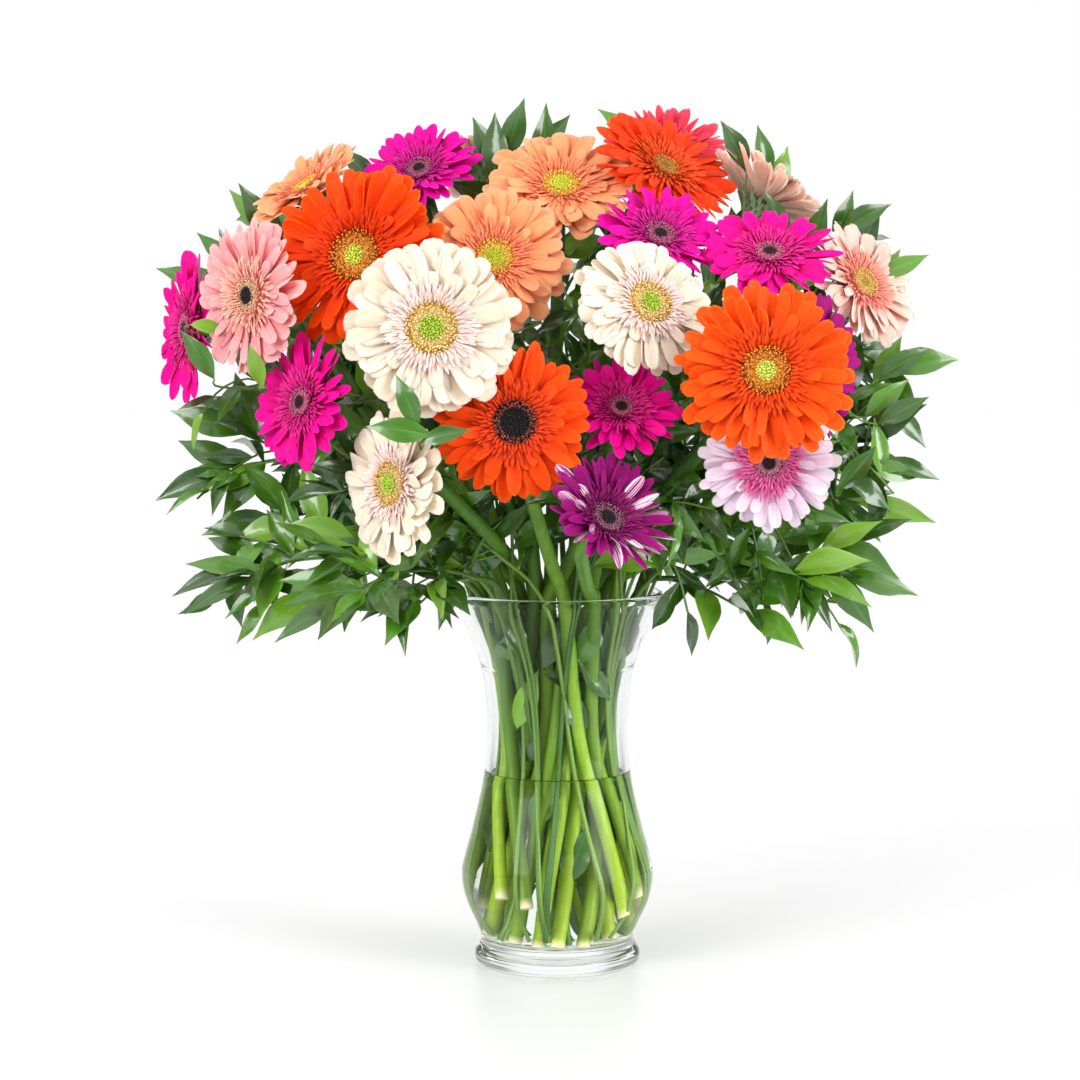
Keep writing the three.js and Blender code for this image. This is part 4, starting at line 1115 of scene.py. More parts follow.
# %% [markdown]
# ## Vase and water
# Pressed soda glass: a thick foot, a bulge, a waist and a flared lip, with two faint ridges
# where the parts of the mould met. The frame's vase is a lathe of straight steps, so the fine
# one is turned from a smooth curve through the same points. The water meets the glass with a
# hair of overlap. Where two clear bodies touch, a gap would show as a silver skin, and an
# overlap shows as the plain water that is there.

# %% Smooth profiles
WALL = 4 * MM
FLOOR = 15 * MM
WATER_LEVEL = 118 * MM
FOOT = [(0.0, 1.4), (30.0, 1.4), (39.0, 1.3), (41.0, 0.3), (44.0, 0.0), (47.5, 0.5), (50.0, 2.4),
        (50.9, 5.4), (50.6, 8.6), (49.2, 11.4), (47.6, 13.4), (46.9, 15.8), (47.2, 18.6)]
SIDE_POINTS = [(47.2, 18.6), (50.4, 27.0), (57.0, 41.8), (58.9, 59.0), (52.6, 84.3), (45.5, 116.4),
               (43.1, 147.0), (45.6, 178.0), (51.9, 198.5), (60.0, 219.0), (63.8, 226.8)]
MOULD_RIDGES = [60.0, 184.0]
RIDGE_HIGH = 0.16 * MM
RIDGE_HALF = 1.1 * MM
LATHE_SIDES = 96


def through(points, steps):
    """A smooth line through points"""
    given = np.array(points)
    padded = np.vstack([2 * given[0] - given[1], given, 2 * given[-1] - given[-2]])
    line = []
    for k in range(len(given) - 1):
        a, b, c, d = padded[k:k + 4]
        for step in range(steps):
            t = step / steps
            line.append(0.5 * (2 * b + (c - a) * t + (2 * a - 5 * b + 4 * c - d) * t ** 2
                               + (3 * b - a - 3 * c + d) * t ** 3))
    return np.array(line + [given[-1]])


def with_ridges(line):
    """The same line with a low round ridge at each mould joint"""
    ridged = [tuple(point) for point in line]
    for joint in MOULD_RIDGES:
        for share in (-1, -0.5, 0, 0.5, 1):
            height = joint * MM + share * RIDGE_HALF
            radius = float(np.interp(height, line[:, 1], line[:, 0]))
            ridged.append((radius + RIDGE_HIGH * (1 - share ** 2), height))
    return sorted(ridged, key=lambda point: point[1])


def lathe(name, profile, material):
    """Turns a profile of (radius, height) round the axis. It starts and ends on the axis"""
    points, faces = [(0, 0, profile[0][1])], []
    for radius, height in profile[1:-1]:
        for side in range(LATHE_SIDES):
            angle = math.tau * side / LATHE_SIDES
            points.append((radius * math.cos(angle), radius * math.sin(angle), height))
    points.append((0, 0, profile[-1][1]))
    last = len(points) - 1
    for side in range(LATHE_SIDES):
        after = (side + 1) % LATHE_SIDES
        faces.append((0, 1 + after, 1 + side))
        faces.append((last, last - LATHE_SIDES + side, last - LATHE_SIDES + after))
        for ring in range(len(profile) - 3):
            a, b = 1 + ring * LATHE_SIDES + side, 1 + ring * LATHE_SIDES + after
            faces.append((a, b, b + LATHE_SIDES, a + LATHE_SIDES))
    mesh = bpy.data.meshes.new(name)
    mesh.from_pydata(points, [], faces, shade_flat=False)
    mesh.materials.append(material)
    return mesh


side_line = through(SIDE_POINTS, 8) * MM


def inner_radius(height):
    """Radius of the vase's inside at a height"""
    return float(np.interp(height, side_line[:, 1], side_line[:, 0])) - WALL


# %% Glass and water
def glass_finish():
    """Clear pressed soda glass, fire polished. A low tint tames its veil, as a polariser would"""
    material, tree, shader = new_material("pressed soda glass", Roughness=0.0, IOR=1.5,
                                          Specular_Tint=(0.08, 0.08, 0.08, 1), Transmission_Weight=1.0,
                                          Base_Color=linear("fafdfb"))
    place = add(tree, "ShaderNodeTexCoord").outputs["Object"]
    waves = add(tree, "ShaderNodeTexNoise", {"Vector": place, "Scale": 18.0, "Detail": 0.0})
    bump = add(tree, "ShaderNodeBump", {"Strength": 0.1, "Distance": 0.3 * MM,
                                        "Height": waves.outputs["Fac"]})
    tree.links.new(bump.outputs[0], shader.inputs["Normal"])
    return material


def water_finish():
    """Still water: IOR 1.33, quite clear"""
    return new_material("still water", Roughness=0.0, IOR=1.33, Transmission_Weight=1.0,
                        Specular_Tint=(0.3, 0.3, 0.3, 1), Base_Color=linear("fbfefb"))[0]


OVERLAP = 0.15 * MM
LIP_ROUND = 2.15
LIP_CENTRE = (62.6, 228.8)
foot_line = through(FOOT, 3) * MM
foot_line[:, 1] = np.maximum(foot_line[:, 1], 0)
lip = [(LIP_CENTRE[0] + LIP_ROUND * math.cos(turn), LIP_CENTRE[1] + LIP_ROUND * math.sin(turn))
       for turn in np.radians(np.arange(-10, 211, 20))]
well = [(44.6, 24.0), (40.5, 18.2), (34.0, 15.7), (20.0, 15.1)]
inside = [(radius - WALL, height) for radius, height in side_line[::-1] if 28 * MM < height < 226 * MM]
glass_profile = [tuple(point) for point in foot_line[:-1]] + with_ridges(side_line)
glass_profile += [(r * MM, z * MM) for r, z in lip] + inside
glass_profile += [(r * MM, z * MM) for r, z in well] + [(0, FLOOR)]
vase = make_piece("glass_vase", [lathe("glass vase", glass_profile, glass_finish())], ["vase"])

# %% Filling the vase
MENISCUS = 2.0 * MM
edge = inner_radius(WATER_LEVEL)
water_profile = [(0, FLOOR - OVERLAP)]
water_profile += [(r * MM + OVERLAP, z * MM - OVERLAP) for r, z in well[::-1]]
water_profile += [(r + OVERLAP, z) for r, z in inside[::-1] if z < WATER_LEVEL - 3 * MM]
water_profile += [(edge + OVERLAP, WATER_LEVEL + MENISCUS), (edge - 0.7 * MM, WATER_LEVEL + 0.4 * MENISCUS),
                  (edge - 2.4 * MM, WATER_LEVEL), (edge * 0.5, WATER_LEVEL), (0, WATER_LEVEL)]
water = make_piece("water_in_vase", [lathe("water", water_profile, water_finish())], ["water"])
# Light passes clear glass and water, so neither shades the stems, nor lights them a second time
for clear in (vase, water):
    clear.visible_shadow = False
    clear.visible_diffuse = False
print("glass and water faces:", len(vase.data.polygons), len(water.data.polygons))

# %% [markdown]
# ## Foliage
# The leaves are those of a glossy woodland shrub: a long pointed oval on a short stalk, set to
# one side and the other of thin arching twigs. The CAD sprays hold a few of them. Each leaf
# and twig found there is grown again in its place, and more are added between them by rule.
# An added leaf whose middle line would pass through a bloom or the glass, or hide a bloom, is
# left out. That test is rough: it sees neither a leaf's width, nor stems, nor other leaves, so
# some of them still pass through one another.

# %% Leaf blades
LEAF_LENGTH = 49 * MM
LEAF_WIDTH = 17 * MM
LEAF_DROOP = 0.1
LEAF_VARIANTS = 10


def leaf_rule():
    """A leaf of length 1 and width 1, folded a little along its rib, its tip where CAD has it"""
    fold = draw.uniform(0.01, 0.1)
    sway = draw.uniform(-0.07, 0.07)
    arch = draw.uniform(-0.01, 0.07)
    twist = draw.uniform(-0.5, 0.5)
    wave = draw.uniform(0, math.tau)

    def rule(u, v):
        half = 0.5 * np.interp(u, [0, 0.12, 0.25, 0.38, 0.5, 0.62, 0.75, 0.88, 1],
                               [0.0, 0.42, 0.8, 0.98, 1.0, 0.86, 0.56, 0.22, 0.0])
        z = fold * np.abs(v) * (half / 0.5) + arch * np.sin(math.pi * u) - LEAF_DROOP * u ** 2
        z += 0.014 * np.sin(9 * u + 3 * v + wave) * (half / 0.5)
        z += 0.3 * v * half * np.sin(twist * np.sin(math.pi * u))
        return u, v * half + sway * np.sin(math.pi * u), z, 0.02 * np.sin(math.pi * u) + 0.003

    return rule


leaves = family("leaf", [blade("leaf", 8, 4, leaf_rule()) for _ in range(LEAF_VARIANTS)])


# %% The leaf tree
def leaf_tree():
    """Leaves on points, each turned and sized by what its point says"""
    tree, given = new_tree("leaves", Parts="parts", Finish="finish", Seed=0)
    along, up, size = (add(tree, "GeometryNodeInputNamedAttribute", {"Name": label},
                           data_type="FLOAT_VECTOR").outputs[0] for label in ("along", "up", "size"))
    rotation = add(tree, "FunctionNodeAxesToRotation", {"Primary Axis": along, "Secondary Axis": up},
                   primary_axis="X", secondary_axis="Z")
    placed = place_variants(tree, given["Parts"], given["Seed"],
                            {"Points": given["Geometry"], "Rotation": rotation.outputs[0],
                             "Scale": size})
    finish_tree(tree, give_shades(tree, placed, given["Seed"]), given["Finish"])
    return tree


def leaf_points(placed):
    """A mesh of bare points, one for each leaf, that say how the leaf lies"""
    mesh = bpy.data.meshes.new("leaf points")
    mesh.from_pydata([tuple(leaf["base"]) for leaf in placed], [], [])
    for label in ("along", "up", "size"):
        values = np.array([tuple(leaf[label]) for leaf in placed])
        mesh.attributes.new(label, "FLOAT_VECTOR", "POINT").data.foreach_set("vector", values.ravel())
    return mesh


leafing = leaf_tree()


# %% Leaf and twig finishes
def leaf_finish():
    """Waxed leaf: a glossy skin that catches the soft boxes, dark above and paler below"""
    material, tree, shader = new_material("waxed leaf", Roughness=0.3, Subsurface_Weight=0.05,
                                          Subsurface_Scale=0.8 * MM, Coat_Weight=0.8,
                                          Coat_Roughness=0.12)
    place = add(tree, "ShaderNodeUVMap", uv_map="blade")
    across = add(tree, "ShaderNodeSeparateXYZ", {"Vector": place.outputs[0]}).outputs["Y"]
    from_rib = add(tree, "ShaderNodeMath", {0: across, 1: 0.5}, operation="SUBTRACT")
    away = add(tree, "ShaderNodeMath", {0: from_rib.outputs[0]}, operation="ABSOLUTE").outputs[0]
    rib = add(tree, "ShaderNodeMapRange", {"Value": away, "From Min": 0.01, "From Max": 0.04,
                                           "To Min": 0.28, "To Max": 0.0})
    shade = add(tree, "ShaderNodeAttribute", attribute_name="shade").outputs["Fac"]
    tint = add(tree, "ShaderNodeValToRGB", {"Fac": shade})
    tint.color_ramp.elements[0].color = linear("244808")
    tint.color_ramp.elements[1].color = linear("78a828")
    tint.color_ramp.elements.new(0.45).color = linear("34660a")
    tint.color_ramp.elements.new(0.8).color = linear("4c8412")
    strip = add(tree, "ShaderNodeMapping", {"Vector": place.outputs[0], "Scale": (1.0, 14.0, 1.0)})
    veins = add(tree, "ShaderNodeTexNoise", {"Vector": strip.outputs[0], "Scale": 1.0, "Detail": 2.0})
    light = add(tree, "ShaderNodeMapRange", {"Value": veins.outputs["Fac"], "From Min": 0.3,
                                             "From Max": 0.7, "To Min": 0.85, "To Max": 1.15})
    veined = add(tree, "ShaderNodeHueSaturation", {"Value": used(light.outputs, "Result"),
                                                   "Color": tint.outputs["Color"]})
    ribbed = add(tree, "ShaderNodeMix", {"Factor": used(rib.outputs, "Result"), "A": veined.outputs[0],
                                         "B": linear("7cac48")}, data_type="RGBA")
    upper = add(tree, "ShaderNodeAttribute", attribute_name="upper").outputs["Fac"]
    side = add(tree, "ShaderNodeMapRange", {"Value": upper, "From Min": 0.1, "From Max": 0.5})
    faced = add(tree, "ShaderNodeMix", {"Factor": used(side.outputs, "Result"), "A": linear("5c8c38"),
                                        "B": used(ribbed.outputs, "Result")}, data_type="RGBA")
    tree.links.new(used(faced.outputs, "Result"), shader.inputs["Base Color"])
    bump = add(tree, "ShaderNodeBump", {"Strength": 0.4, "Distance": 0.2 * MM,
                                        "Height": veins.outputs["Fac"]})
    tree.links.new(bump.outputs[0], shader.inputs["Normal"])
    return material


def twig_finish():
    """A thin green twig, a little lighter than its leaves"""
    material, tree, shader = new_material("green twig", Roughness=0.45)
    tone = add(tree, "ShaderNodeAttribute", attribute_name="tone").outputs["Fac"]
    tint = add(tree, "ShaderNodeMix", {"Factor": tone, "A": linear("34601c"), "B": linear("74983c")},
               data_type="RGBA")
    tree.links.new(used(tint.outputs, "Result"), shader.inputs["Base Color"])
    return material


leaf_green = leaf_finish()
twig_green = twig_finish()

# %% Sprays of the frame
# Where each spray leaves the mouth, where it bends, its tip, and the way its leaves face
SPRAYS = {
    "left_high": [(-46, 6, 230), (-120, 20, 300), (-194, 20, 326), (-0.3, -1, 0.5)],
    "left_low": [(-48, -14, 230), (-110, -30, 268), (-188, -30, 246), (-0.2, -1, 0.9)],
    "front_left": [(-32, -38, 230), (-70, -80, 268), (-124, -104, 238), (-0.2, -1, 0.9)],
    "right_low": [(48, -14, 230), (100, -40, 258), (170, -40, 244), (0.2, -1, 0.9)],
    "right_mid": [(49, 4, 230), (130, 10, 290), (182, -6, 322), (0.3, -1, 0.5)],
    "right_high": [(38, 28, 230), (130, 60, 330), (178, 30, 424), (0.3, -1, 0.4)],
    "top": [(4, 44, 230), (-10, 62, 400), (-8, 46, 482), (0, -1, 0.2)],
    "top_left": [(-34, 32, 230), (-120, 70, 330), (-168, 30, 442), (-0.2, -1, 0.3)],
    "back_left": [(-22, 44, 230), (-70, 110, 300), (-112, 126, 344), (-0.4, 1, 0.6)],
    "back_right": [(26, 44, 230), (70, 110, 300), (112, 126, 356), (0.4, 1, 0.6)],
}
TWIG_SPAN = 95 * MM
TWIG_RADIUS = 0.9 * MM
TWIG_COUNT = 4
TWIG_FIRST = 0.2
TWIG_EVERY = 0.19
TWIG_ARCH = 0.05
STEM_ENDS = 0.995
TWIG_WAYS = [(40, 0), (28, 15), (52, -15), (34, -30), (46, 30)]
LEAF_WAYS = [(46, 0), (30, 18), (60, -18), (38, -36), (52, 36), (70, 10)]
TIP_WAYS = [(0, 0), (14, 10), (-14, -10), (22, -20), (-22, 20)]


def bezier(mouth, bend, tip, share):
    """Point and direction on a spray's main stem above the mouth"""
    point = mouth * (1 - share) ** 2 + bend * 2 * share * (1 - share) + tip * share ** 2
    tangent = ((bend - mouth) * (1 - share) + (tip - bend) * share).normalized()
    return point, tangent


def swung(tangent, face, swing, lift):
    """A direction swung from a stem's own towards a side, and lifted out of the spray's plane"""
    up = (face - tangent * face.dot(tangent)).normalized()
    side = tangent.cross(up)
    swing = math.radians(swing)
    leaned = tangent * math.cos(swing) + side * math.sin(swing) + up * math.tan(math.radians(lift))
    return leaned.normalized()


def leaf_at(base, along, face, length=1.0, width=1.0, curve=1.0):
    """How one leaf lies. Its size is in shares of a full leaf"""
    up = (face - along * face.dot(along)).normalized()
    size = Vector((length, length * width * LEAF_WIDTH / LEAF_LENGTH, length * curve)) * LEAF_LENGTH
    return {"base": base, "along": along, "up": up, "size": size}


def leaf_line(leaf):
    """Points along a leaf's rib"""
    return [leaf["base"] + leaf["along"] * leaf["size"].x * share
            - leaf["up"] * LEAF_DROOP * leaf["size"].z * share ** 2 for share in (0.15, 0.4, 0.7, 1.0)]


# %% Room between the blooms
CENTRES = np.array([bloom["centre"] for bloom in blooms])
AXES = np.array([bloom["axis"] for bloom in blooms])
REACHES = np.array([[bloom["reach"]] for bloom in blooms])
SLOPES = np.tan(np.array([[bloom["lift"] + LIFT_STEP] for bloom in blooms]))
PETAL_ROOM = 4 * MM
BOX_ROOM = 5 * MM
RIM_TOP = 231 * MM
GLASS_ROOM = 1.5 * MM


def crosses_bloom(points, room=PETAL_ROOM):
    """True if any of the points lies in or near the sheet of petals of a bloom"""
    offsets = np.array(points)[None] - CENTRES[:, None]
    heights = (offsets * AXES[:, None]).sum(2)
    outs = np.sqrt(np.maximum((offsets ** 2).sum(2) - heights ** 2, 0))
    sheet = SLOPES * np.maximum(outs - CORE_SHARE * REACHES, 0) - 3 * MM
    near = (outs < REACHES + 2 * MM) & (np.abs(heights - sheet) < room + 0.08 * outs)
    return bool(near.any())


def hides_bloom(points):
    """True if any of the points stands between the camera and a bloom's face"""
    rays = np.array(points) - np.array(CAMERA_PLACE)
    reached = ((CENTRES - np.array(CAMERA_PLACE)) * AXES).sum(1)[:, None] / (AXES @ rays.T)
    hits = rays[None] * reached[:, :, None] + np.array(CAMERA_PLACE)
    outs = np.sqrt(((hits - CENTRES[:, None]) ** 2).sum(2))
    return bool(((reached > 1) & (outs < 0.94 * REACHES)).any())


def crosses_glass(points):
    """True if any of the points lies in the wall of the vase, or the line passes through it"""
    sides = set()
    for x, y, z in points:
        if z < RIM_TOP:
            out = math.hypot(x, y) - inner_radius(z)
            if -GLASS_ROOM < out < WALL + GLASS_ROOM:
                return True
            sides.add(out > 0)
    return len(sides) > 1


def leaves_box(points):
    """True if any of the points is outside the CAD box, apart from a little room"""
    low, high = (np.array(corner) for corner in cad_box)
    return bool(((np.array(points) < low - BOX_ROOM) | (np.array(points) > high + BOX_ROOM)).any())


def has_room(points):
    """True if these points keep clear of blooms, glass and the box's outside, and hide no bloom"""
    return not (crosses_bloom(points) or crosses_glass(points) or leaves_box(points)
                or hides_bloom(points))


# %% Finding the CAD leaves and twigs again
FOUND = 0.3 * MM


def nearest(corners, point):
    """Distance from a point to the nearest corner"""
    return float(np.sqrt(((corners - np.array(point)) ** 2).sum(1)).min())


def cad_spray(name):
    """The main stem, twigs and leaves that a CAD spray really has, and the way it faces"""
    mouth, bend, tip = (Vector(point) * MM for point in SPRAYS[name][:3])
    face = Vector(SPRAYS[name][3]).normalized()
    corners = corners_of(f"spray_{name}")
    samples = [bezier(mouth, bend, tip, k / 60)[0] for k in range(61)]
    length = sum((b - a).length for a, b in zip(samples, samples[1:]))
    stem = rings(f"spray_{name}", 3) + [(bezier(mouth, bend, tip, share)[0], (2 - 0.3 * k) * MM)
                                        for k, share in enumerate((0, 0.25, 0.5, 0.75, STEM_ENDS))]
    lines, placed = [stem], []

    def find_leaf(base, tangent, side, ways):
        for swing, lift in ways:
            leaf = leaf_at(base, swung(tangent, face, swing * side, lift), face)
            if nearest(corners, leaf_line(leaf)[-1]) < FOUND:
                placed.append(leaf)
                return

    for number in range(TWIG_COUNT):
        base, tangent = bezier(mouth, bend, tip, TWIG_FIRST + TWIG_EVERY * number)
        side = 1 if number % 2 == 0 else -1
        span = min(TWIG_SPAN, (0.46 - 0.07 * number) * length)
        for swing, lift in TWIG_WAYS:
            end = base + swung(tangent, face, swing * side, lift) * span
            if nearest(corners, end) < 0.75 * TWIG_RADIUS:
                middle = base.lerp(end, 0.5) + Vector((0, 0, TWIG_ARCH * span))
                lines.append([(base, TWIG_RADIUS), (middle, TWIG_RADIUS), (end, 0.7 * TWIG_RADIUS)])
                first, second = (middle - base).normalized(), (end - middle).normalized()
                find_leaf(base.lerp(middle, 0.9), first, side, LEAF_WAYS)
                find_leaf(middle.lerp(end, 0.5), second, -side, LEAF_WAYS)
                find_leaf(end - second * MM, second, 1, TIP_WAYS)
                break
    find_leaf(*bezier(mouth, bend, tip, 0.92), 1, LEAF_WAYS)
    find_leaf(bezier(mouth, bend, tip, STEM_ENDS)[0], bezier(mouth, bend, tip, 1)[1], 1, TIP_WAYS)
    return lines, placed, face


# %% More twigs and leaves by rule
TWIG_TRIES = 6


def walk(points, distance):
    """Point and direction at a distance along a line of points"""
    for a, b in zip(points, points[1:]):
        step = (b - a).length
        if distance <= step:
            return a.lerp(b, distance / step), (b - a).normalized()
        distance -= step
    return b * 1.0, (b - a).normalized()


def line_length(points):
    """Length of a line of points"""
    return sum((b - a).length for a, b in zip(points, points[1:]))


def add_leaves(points, face, spacing, chance, reach=(0.6, 1.0), start=0.12):
    """Leaves to one side and the other along a twig, shorter towards its end, and one at its tip"""
    length = line_length(points)
    placed = []
    walked, side = start * length, 1
    while walked < length:
        base, tangent = walk(points, walked)
        last = walked + 0.7 * spacing > length
        size = chance.uniform(*reach) * (1 - 0.2 * walked / length)
        turned = (face + Vector(chance.uniform(-0.5, 0.5, 3))).normalized()
        for swing in ((chance.uniform(0, 14),) if last else ()) + tuple(chance.uniform(28, 75, 3)):
            along = swung(tangent, turned, swing * side, chance.uniform(-24, 24))
            leaf = leaf_at(base, along, turned, size, chance.uniform(0.75, 1.05), chance.uniform(0.6, 2.8))
            if has_room(leaf_line(leaf)):
                placed.append(leaf)
                break
        side = -side
        walked += spacing * chance.uniform(0.7, 1.25)
    return placed


def add_twigs(points, face, count, span, chance):
    """Twigs to one side and the other of a main stem, each a short arc"""
    length = line_length(points)
    lines = []
    for number in range(count):
        base, tangent = walk(points, length * (0.22 + 0.7 * (number + chance.uniform(0, 0.6)) / count))
        side = 1 if number % 2 else -1
        for _ in range(TWIG_TRIES):
            reach = span * chance.uniform(0.7, 1.15) * (1 - 0.35 * number / count)
            swing = side * chance.uniform(28, 62)
            end = base + swung(tangent, face, swing, chance.uniform(-30, 30)) * reach
            middle = base.lerp(end, 0.5) + Vector((0, 0, 0.06 * reach))
            if has_room([middle, middle.lerp(end, 0.5), end]):
                lines.append([base, middle, end])
                break
    return lines


# %% Growing the sprays
TWIG_SIDES = 6
TWIG_STEP = 7 * MM
leaf_total = 0
main_stems = []


def grow_foliage(name, lines, placed, seed, replaced=()):
    """One piece: the twigs as tubes and the leaves on their points"""
    global leaf_total
    leaf_total += len(placed)
    tubes = grow_tubes(lines, twig_green, TWIG_SIDES, TWIG_STEP, seed)
    blades = grow(leafing, start=leaf_points(placed), Parts=leaves, Finish=leaf_green, Seed=seed)
    return make_piece(name, [tubes, blades], replaced)


for seed, name in enumerate(SPRAYS):
    chance = np.random.default_rng(400 + seed)
    lines, placed, face = cad_spray(name)
    found = len(placed)
    above = [point for point, radius in lines[0][3:]]
    twigs = [[point for point, radius in line] for line in lines[1:]]
    extra = add_twigs(above, face, 4, 62 * MM, chance)
    for twig in twigs + extra:
        placed += add_leaves(twig, face, 19 * MM, chance)
    placed += add_leaves(above, face, 20 * MM, chance, start=0.2)
    lines += [[(point, 0.8 * TWIG_RADIUS) for point in twig] for twig in extra]
    main_stems.append(above)
    grow_foliage(f"leafy_{name}", lines, placed, seed, [f"spray_{name}"])
    print(f"{name}: {found} leaves of the frame, {len(placed)} in all, {len(extra)} twigs more")

# %% [markdown]
# ## Filling in
# A florist packs more green between the blooms than the ten main sprays. These sprays stand
# inside the vase near its wall, lean over the rim and fan out behind and below the blooms. Each
# main stem takes the clearest of several paths between the gerbera stems, though most still pass
# through one, and keeps the first bend at which its own points are clear of the blooms.

# %% Filler sprays
FILLER_TIPS = [
    (-124, -60, 318), (-70, -86, 290), (74, -90, 286), (126, -64, 316), (-4, -70, 350), (-112, -50, 372),
    (96, -60, 372), (180, -16, 350), (-184, -4, 356), (-64, 20, 436), (30, 20, 440), (112, 26, 436),
    (-134, 40, 420), (-60, 108, 400), (60, 108, 404), (0, 122, 300), (-124, 88, 268), (124, 88, 268),
    (-10, 100, 470), (84, 96, 470), (-96, 84, 464),
    (-30, -20, 400), (60, -20, 400), (-150, 0, 384), (164, 20, 400), (30, -60, 316), (-40, -60, 316),
]
IN_VASE = [22, 50, 84, 116, 147, 178, 205, 222]
MOUTH_LEVEL = 232
WALL_ROOM = 4
FOOT_ROOM = 5
FOOT_TOP = 30
PATH_TRIES = 16
BEND_TRIES = 24
SAMPLE_EVERY = 6
SAMPLES = 45
stem_samples = np.array([
    tuple(walk([point for point, radius in bloom["line"]], k * SAMPLE_EVERY * MM)[0])
    for bloom in blooms for k in range(SAMPLES)])


def vase_path(heading, slant):
    """A line that climbs inside the vase close to its wall"""
    path = []
    for height in IN_VASE:
        angle = heading + slant * (1 - height / IN_VASE[-1])
        radius = inner_radius(height * MM) - (WALL_ROOM + FOOT_ROOM * (height < FOOT_TOP)) * MM
        path.append(Vector((radius * math.cos(angle), radius * math.sin(angle), height * MM)))
    return path


def filler_line(tip, chance):
    """A main stem from the water to a tip: the clearest of several paths, with a free bend"""
    tip = Vector(tip) * MM
    wanted = math.atan2(tip.y, tip.x)
    tries = [vase_path(wanted + chance.uniform(-0.7, 0.7), chance.uniform(-0.9, 0.9))
             for _ in range(PATH_TRIES)]
    below = max(tries, key=lambda path: min(nearest(stem_samples, point) for point in path))
    mouth = below[-1] * 1.0
    mouth.z = MOUTH_LEVEL * MM
    for _ in range(BEND_TRIES):
        bend = mouth.lerp(tip, chance.uniform(0.35, 0.6))
        bend += Vector((chance.uniform(-30, 30), chance.uniform(-30, 30), chance.uniform(0, 50))) * MM
        above = [bezier(mouth, bend, tip, share)[0] for share in (0.12, 0.3, 0.5, 0.7, 0.85, 1)]
        if not crosses_bloom(above, 2 * MM) and not hides_bloom(above[2:]):
            return below, above
    return below, None


skipped = 0
for number, tip in enumerate(FILLER_TIPS):
    chance = np.random.default_rng(700 + number)
    below, above = filler_line(tip, chance)
    if above is None:
        skipped += 1
        continue
    forward = -1 if tip[1] < 80 else 1
    face = Vector((chance.uniform(-0.25, 0.25), forward, chance.uniform(0.3, 0.9))).normalized()
    twigs = add_twigs(above, face, 6, 52 * MM, chance)
    placed = add_leaves(above, face, 15 * MM, chance, start=0.1)
    for twig in twigs:
        placed += add_leaves(twig, face, 14 * MM, chance, reach=(0.55, 0.9))
    whole = below + above
    lines = [[(point, (1.5 - 0.7 * k / len(whole)) * MM) for k, point in enumerate(whole)]]
    lines += [[(point, 0.75 * TWIG_RADIUS) for point in twig] for twig in twigs]
    main_stems.append(above)
    grow_foliage(f"filler_{number + 1:02d}", lines, placed, 40 + number)
print("fillers:", len(FILLER_TIPS) - skipped, "skipped:", skipped, "leaves so far:", leaf_total)

# %% [markdown]
# ## Fringe
# Round the bunch single twigs stand free against the light, with a leaf to one side and a leaf
# to the other. Each springs from a main stem and ends where the bunch's outline has a tip.

# %% Fringe twigs
# How far aside, back and up each tip is
FRINGE_TIPS = [
    (-249, -10, 334), (-247, -20, 273), (-241, -30, 226), (-209, -40, 210), (-156, -60, 202),
    (-115, -80, 204), (94, -84, 199), (130, -70, 198), (169, -50, 206), (186, -40, 238), (226, -30, 268),
    (232, -10, 317), (237, 0, 351), (228, 10, 380), (226, 20, 436), (204, 30, 467), (-236, 0, 300),
    (212, -20, 290), (-5, 50, 526), (-54, 56, 520), (-132, 50, 501), (-202, 40, 476), (103, 60, 519),
    (124, 60, 513), (-220, 30, 448), (22, 56, 522),
]
TIP_LEAF = 34 * MM
FRINGE_REACH = 100 * MM
FRINGE_TRIES = 14


def fringe_line(tip, chance):
    """A thin arc from a main stem to just under an outline tip, or None if none has room"""
    tip = Vector(tip) * MM
    starts = [walk(stem, line_length(stem) * share)[0]
              for stem in main_stems for share in (0.35, 0.6, 0.85)]
    starts = sorted(starts, key=lambda start: abs((tip - start).length - FRINGE_REACH))
    for start in starts[:FRINGE_TRIES]:
        end = tip - (tip - start).normalized() * TIP_LEAF
        bow = Vector(chance.uniform(-1, 1, 3)) * 6 * MM + Vector((0, 0, 10 * MM))
        line = [start, start.lerp(end, 0.33) + bow, start.lerp(end, 0.7) + bow * 0.8, end]
        if has_room(line[2:]) and not crosses_bloom(line[1:2], 2 * MM):
            return line
    return None


lines, placed = [], []
for number, tip in enumerate(FRINGE_TIPS):
    chance = np.random.default_rng(900 + number)
    twig = fringe_line(tip, chance)
    if twig is None:
        continue
    face = Vector((chance.uniform(-0.3, 0.3), -1, chance.uniform(0.2, 0.8))).normalized()
    placed += add_leaves(twig, face, 17 * MM, chance, reach=(0.65, 0.9), start=0.3)
    lines.append([(point, 0.8 * TWIG_RADIUS) for point in twig])
print("fringe twigs:", len(lines), "with leaves:", len(placed))
grow_foliage("fringe", lines, placed, 81)

